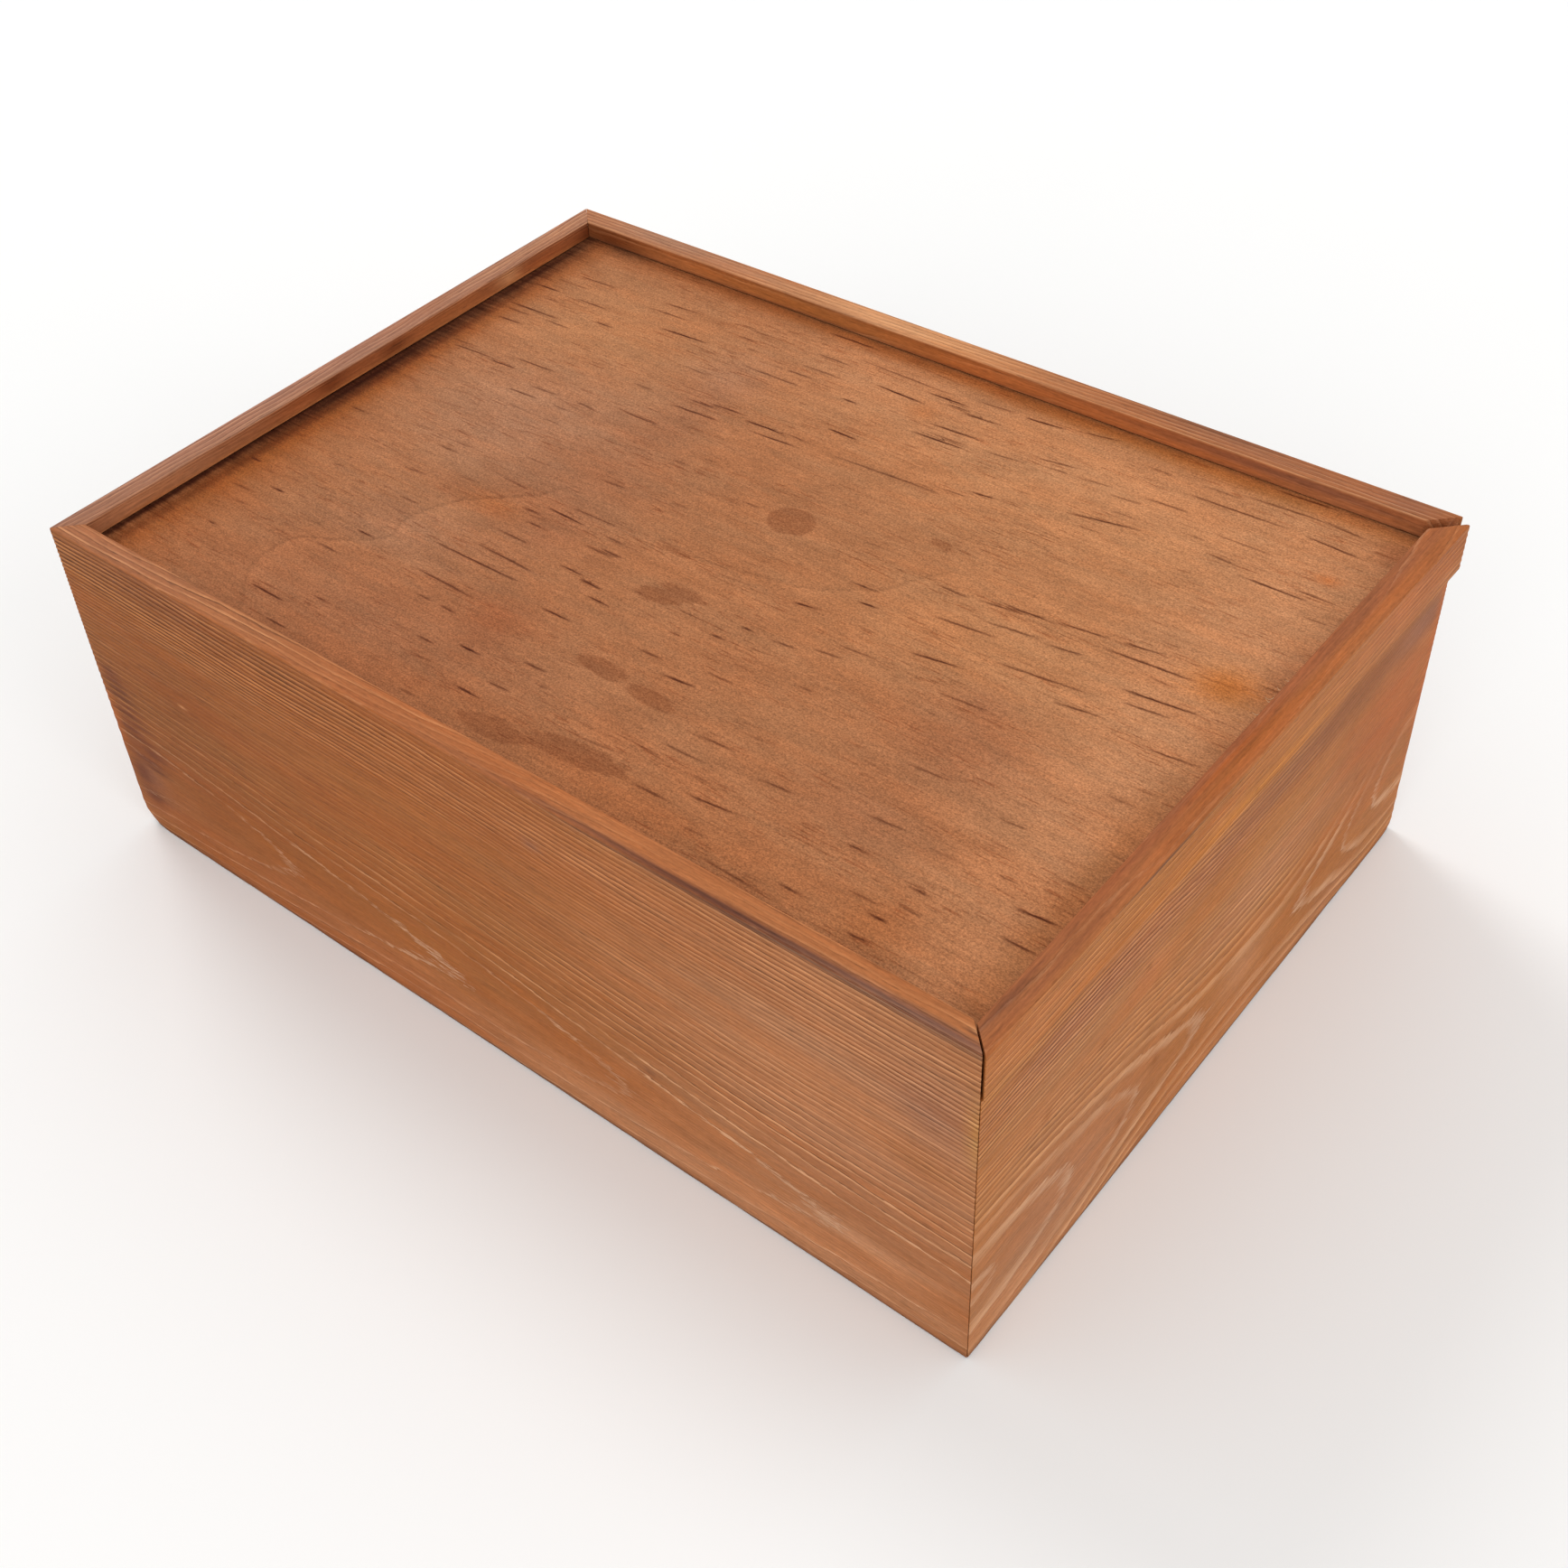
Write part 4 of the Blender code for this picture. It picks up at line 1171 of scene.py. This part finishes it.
def plywood_material(name, colours, pore_share):
    """Stained rotary-cut plywood: a sandy, open-pored face with short dark pores along the grain,
    faint broad clouds, water marks, and the edge of a bare patch in its figure."""
    material, tree, shader = new_material(name)
    # Cut fibres leave a sand of about 0.5 mm, drawn a little coarser so that it shows
    fields = ("mark_edge", "figure_edge", "figure_strength", "pore_offset", "pore_darkness")
    wood = wood_inputs(tree, fields, [
        ("sand", 0.7, 0.5, 2, 0.8),
        ("fibres", 12, 0.8, 3, 0.65),
        ("clouds", 24, 8, 4, 0.6),
        ("hue", 34, 9, 4, 0.65),
        ("pits", 9, 0.7, 2, 0.55),
        ("frays", 5, 1.4, 3, 0.6),
        ("splits", 4, 0.7, 2, 0.6),
        ("crowd", 45, 12, 2, 0.6),
        ("flecks", 3.2, 1.1, 2, 0.65),
    ])
    darkness = wood["pore_darkness"]
    tone = add(tree, RANGE, (wood["sand"], 0.32, 0.68, 0.67, 1.33))
    for pattern, low, high in (("clouds", 0.93, 1.07), ("fibres", 0.92, 1.07), ("flecks", 0.91, 1.08)):
        part = add(tree, RANGE, (wood[pattern], 0.32, 0.68, low, high))
        tone = add(tree, MATH, (tone, part), operation="MULTIPLY")
    # The veneer is a little darker inside the figure's edge, with a thin line and a paler band outside
    edge = add(tree, MATH, (wood["frays"], 3.6, wood["figure_edge"]), operation="MULTIPLY_ADD")
    edge = add(tree, MATH, (edge, 1.8), operation="SUBTRACT")
    for near_low, near_high, far_low, far_high, change in (
        (-30.0, -6.0, -1.0, 0.4, -0.06),
        (-1.2, -0.4, 0.0, 0.8, -0.16),
        (0.0, 1.5, 2.0, 6.0, 0.05),
    ):
        band = add(tree, RANGE, (edge, near_low, near_high, 0.0, 1.0))
        fall = add(tree, RANGE, (edge, far_low, far_high, 1.0, 0.0))
        for part in (fall, wood["figure_strength"]):
            band = add(tree, MATH, (band, part), operation="MULTIPLY")
        band = add(tree, MATH, (band, change, 1.0), operation="MULTIPLY_ADD")
        tone = add(tree, MATH, (tone, band), operation="MULTIPLY")
    body = stained_body(tree, wood, tone, (1.035, 0.975, 0.93), (0.985, 1.01, 1.035))
    # Water marks have frayed edges, and soaked less into the sand's high spots
    frayed = add(tree, MATH, (wood["frays"], 3.0, wood["mark_edge"]), operation="MULTIPLY_ADD")
    mark = add(tree, RANGE, (frayed, 1.1, 1.9, 1.0, 0.0))
    soaked = add(tree, RANGE, (wood["sand"], 0.3, 0.7, 0.6, 0.32))
    mark = add(tree, MATH, (mark, soaked), operation="MULTIPLY")
    water_mark, pore = four(linear(colours.water_mark)), four(linear(colours.pore))
    body = add(tree, MIX, {0: mark, 6: body, 7: water_mark}, 2, data_type="RGBA")
    # A pore is 0.5 mm wide, with a redder rim where the stain gathered
    ragged = add(tree, MATH, (wood["splits"], 0.8, wood["pore_offset"]), operation="MULTIPLY_ADD")
    ragged = add(tree, MATH, (ragged, 0.4), operation="SUBTRACT")
    away = add(tree, MATH, (ragged,), operation="ABSOLUTE")
    halo = add(tree, RANGE, (away, 0.2, 1.0, 1.0, 0.0))
    halo = add(tree, MATH, (halo, darkness), operation="MULTIPLY")
    pits = add(tree, RANGE, (wood["pits"], 0.55, 0.66, 0.0, pore_share))
    clustered = add(tree, RANGE, (wood["crowd"], 0.42, 0.6, 0.0, 1.0))
    pits = add(tree, MATH, (pits, clustered), operation="MULTIPLY")
    reddened = add(tree, MATH, (halo, 0.5, pits), operation="MULTIPLY_ADD", use_clamp=True)
    rim = add(tree, VECTOR, (body, (0.62, 0.47, 0.4)), operation="MULTIPLY")
    body = add(tree, MIX, {0: reddened, 6: body, 7: rim}, 2, data_type="RGBA")
    core = add(tree, RANGE, (away, 0.14, 0.54, 1.0, 0.0))
    core = add(tree, MATH, (core, darkness), operation="MULTIPLY", use_clamp=True)
    colour = add(tree, MIX, {0: core, 6: body, 7: pore}, 2, data_type="RGBA")
    height = add(tree, MATH, (wood["sand"], 0.5), operation="MULTIPLY")
    height = add(tree, MATH, (height, core), operation="SUBTRACT")
    finished(tree, shader, colour, height, 0.1 * MM)
    shader.inputs["Roughness"].default_value = 0.7
    shader.inputs["Specular IOR Level"].default_value = 0.06
    return material


def lint_material(colours):
    """Torn wood fibre: pale, dry and matte, because no stain reached it."""
    material, _, shader = new_material("torn_wood_fibre")
    shader.inputs["Base Color"].default_value = four(linear(colours.torn_wood))
    shader.inputs["Roughness"].default_value = 0.8
    return material


def backdrop_material(colours):
    """Matte photographic paper: an even, pale sheet with no shine."""
    material, _, shader = new_material("matte_paper")
    shader.inputs["Base Color"].default_value = four(linear(colours.backdrop))
    shader.inputs["Roughness"].default_value = 0.9
    shader.inputs["Specular IOR Level"].default_value = 0.1
    return material


def dress(piece, material, body, slot, *nodes):
    """Gives a piece its material and its place in the frame."""
    piece.data.materials.append(material)
    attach(piece, body)
    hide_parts(*nodes)


def softwood(colours):
    """The softwood, made the first time it is asked for."""
    return bpy.data.materials.get("stained_brushed_pine") or softwood_material(colours)


# Operators


class MakeWalls(bpy.types.Operator):
    """Make the four mitred walls of brushed softwood"""

    bl_idname = "keepsake_box.walls"
    bl_label = "Walls"

    def execute(self, context):
        sizes, wood = context.scene.box_sizes, softwood(context.scene.box_colours)
        walls = [
            (NEAR_BOARD, (0, -HALF_WIDTH, 0), True, "near_wall"),
            (FAR_BOARD, (0, HALF_WIDTH, 0), True, "far_wall"),
            (CLOSED_BOARD, (-HALF_LENGTH, 0, 0), True, "closed_end_wall"),
            (OPEN_BOARD, (HALF_LENGTH, 0, 0), False, "open_end_wall"),
        ]
        for board, origin, has_lid_groove, node in walls:
            loops, attributes = mitred_wall(board, origin, has_lid_groove, sizes)
            loops = worn(loops, (-HALF_LENGTH, -HALF_WIDTH, 0), sizes.corner_wear)
            loops = worn(loops, (HALF_LENGTH, HALF_WIDTH, 0), FAR_WEAR * sizes.corner_wear)
            dress(carried(board.name, loops, attributes), wood, board.body, "wall_wood", node)
        return {"FINISHED"}


class MakeRail(bpy.types.Operator):
    """Make the lid's rail, which runs out of square"""

    bl_idname = "keepsake_box.rail"
    bl_label = "Lid rail"

    def execute(self, context):
        sizes, wood = context.scene.box_sizes, softwood(context.scene.box_colours)
        loops, attributes = rail_loops(RAIL_BOARD, sizes)
        dress(carried(RAIL_BOARD.name, loops, attributes), wood, RAIL_BOARD.body, "rail_wood", "lid_rail")
        return {"FINISHED"}


class MakeLint(bpy.types.Operator):
    """Make the loose fibres at the rail's inner edge"""

    bl_idname = "keepsake_box.lint"
    bl_label = "Lint"

    def execute(self, context):
        sizes, fibre = context.scene.box_sizes, lint_material(context.scene.box_colours)
        (near_thick, near_proud, _), (far_thick, far_proud, _) = RAIL_NEAR, RAIL_FAR
        for number, (along, across_reach, along_reach) in enumerate(LINT, 1):
            share = 0.5 + along * MM / (2 * HALF_WIDTH)
            proud = near_proud + (far_proud - near_proud) * share
            thick = near_thick + (far_thick - near_thick) * share
            foot_x = HALF_LENGTH + proud - thick + LINT_INSET
            foot = (foot_x, along * MM, BOX_HEIGHT - sizes.edge_round)
            loops = fibre_loops(foot, (across_reach * MM, along_reach * MM), sizes.lint)
            piece = carried(f"lint_{number}", loops)
            piece.data.materials.append(fibre)
            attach(piece, "lid")
        return {"FINISHED"}


class MakeLidPanel(bpy.types.Operator):
    """Make the plywood lid with its pores, water marks and figure"""

    bl_idname = "keepsake_box.lid_panel"
    bl_label = "Lid panel"

    def execute(self, context):
        sizes, colours = context.scene.box_sizes, context.scene.box_colours
        drawn = (np.array(PORES) * (MM, MM, MM, MM, 1)).tolist()
        piece = veneered_panel(
            "veneered_lid_panel", LID_LOW, LID_HIGH, "tan", LID_WASHES,
            scattered_pores(6, 420, LID_LOW[:2], LID_HIGH[:2], drawn),
            VENEER_STEP, VENEER_STATION_STEP, sizes.pore_depth, figured=True,
        )
        plywood = plywood_material("stained_lid_plywood", colours, 0.75)
        dress(piece, plywood, "lid", "lid_plywood", "lid_panel")
        return {"FINISHED"}


class MakeBottomPanel(bpy.types.Operator):
    """Make the plywood bottom"""

    bl_idname = "keepsake_box.bottom_panel"
    bl_label = "Bottom panel"

    def execute(self, context):
        sizes, colours = context.scene.box_sizes, context.scene.box_colours
        piece = veneered_panel(
            "veneered_bottom_panel", BOTTOM_LOW, BOTTOM_HIGH, "sand", BOTTOM_WASHES,
            scattered_pores(9, 160, BOTTOM_LOW[:2], BOTTOM_HIGH[:2]),
            BOTTOM_STEP, PLAIN_STEP, sizes.pore_depth, figured=False,
        )
        plywood = plywood_material("bottom_plywood", colours, 0.25)
        dress(piece, plywood, "box", "bottom_plywood", "bottom_panel")
        return {"FINISHED"}


class MakeStage(bpy.types.Operator):
    """Make the paper floor, the lights and the camera"""

    bl_idname = "keepsake_box.stage"
    bl_label = "Stage"

    def execute(self, context):
        scene, stage = context.scene, context.scene.box_stage
        corners = [(x * HALF_FLOOR, y * HALF_FLOOR, 0) for x, y in ((-1, -1), (1, -1), (1, 1), (-1, 1))]
        mesh = bpy.data.meshes.new("floor")
        mesh.from_pydata(corners, [], [(0, 1, 2, 3)])
        mesh.materials.append(backdrop_material(scene.box_colours))
        floor = bpy.data.objects.new("floor", mesh)
        scene.collection.objects.link(floor)

        world = bpy.data.worlds.new("white_room")
        world.use_nodes = True
        background = world.node_tree.nodes["Background"]
        background.inputs["Color"].default_value = (1, 1, 1, 1)
        background.inputs["Strength"].default_value = stage.sky
        scene.world = world
        # Distant lights, so that the paper is evenly white, each as wide as a soft box looks from the box
        lights = [
            ("key_light", (-2.8, 1.0, 2.7), 22, stage.key),
            ("front_light", (0.9, -3.4, 1.7), 35, stage.front),
            ("side_light", (3.4, -0.2, 1.5), 35, stage.side),
        ]
        for name, place, width, strength in lights:
            data = bpy.data.lights.new(name, "SUN")
            data.angle, data.energy = math.radians(width), strength
            light = bpy.data.objects.new(name, data)
            light.location = place
            light.rotation_euler = (-Vector(place)).to_track_quat("-Z", "Y").to_euler()
            scene.collection.objects.link(light)

        data = bpy.data.cameras.new("camera")
        data.lens = stage.lens
        data.sensor_width = SENSOR_WIDTH
        data.shift_x, data.shift_y = CAMERA_SHIFT
        data.clip_start, data.clip_end = CAMERA_CLIP
        camera = bpy.data.objects.new("camera", data)
        camera.location = CAMERA_PLACE
        camera.rotation_euler = Euler([math.radians(turn) for turn in CAMERA_TURNS])
        scene.collection.objects.link(camera)
        scene.camera = camera
        scene.view_settings.view_transform = "Standard"
        return {"FINISHED"}


class BoxPanel(bpy.types.Panel):
    """Lists the steps in the sidebar"""

    bl_idname = "VIEW3D_PT_keepsake_box"
    bl_label = "Keepsake box"
    bl_space_type = "VIEW_3D"
    bl_region_type = "UI"
    bl_category = "Keepsake box"

    def draw(self, context):
        for group in (context.scene.box_sizes, context.scene.box_colours, context.scene.box_stage):
            column = self.layout.column()
            for name in group.bl_rna.properties.keys():
                if name not in ("rna_type", "name"):
                    column.prop(group, name)
        for operator in OPERATORS:
            self.layout.operator(operator.bl_idname)


OPERATORS = (MakeWalls, MakeRail, MakeLint, MakeLidPanel, MakeBottomPanel, MakeStage)
CLASSES = (BoxSizes, BoxColours, BoxStage, *OPERATORS, BoxPanel)


def register():
    for cls in CLASSES:
        bpy.utils.register_class(cls)
    bpy.types.Scene.box_sizes = bpy.props.PointerProperty(type=BoxSizes)
    bpy.types.Scene.box_colours = bpy.props.PointerProperty(type=BoxColours)
    bpy.types.Scene.box_stage = bpy.props.PointerProperty(type=BoxStage)


def unregister():
    del bpy.types.Scene.box_stage, bpy.types.Scene.box_colours, bpy.types.Scene.box_sizes
    for cls in reversed(CLASSES):
        bpy.utils.unregister_class(cls)


def main():
    register()
    bpy.ops.keepsake_box.walls()
    bpy.ops.keepsake_box.rail()
    bpy.ops.keepsake_box.lint()
    bpy.ops.keepsake_box.lid_panel()
    bpy.ops.keepsake_box.bottom_panel()
    bpy.ops.keepsake_box.stage()


if __name__ == "__main__":
    main()
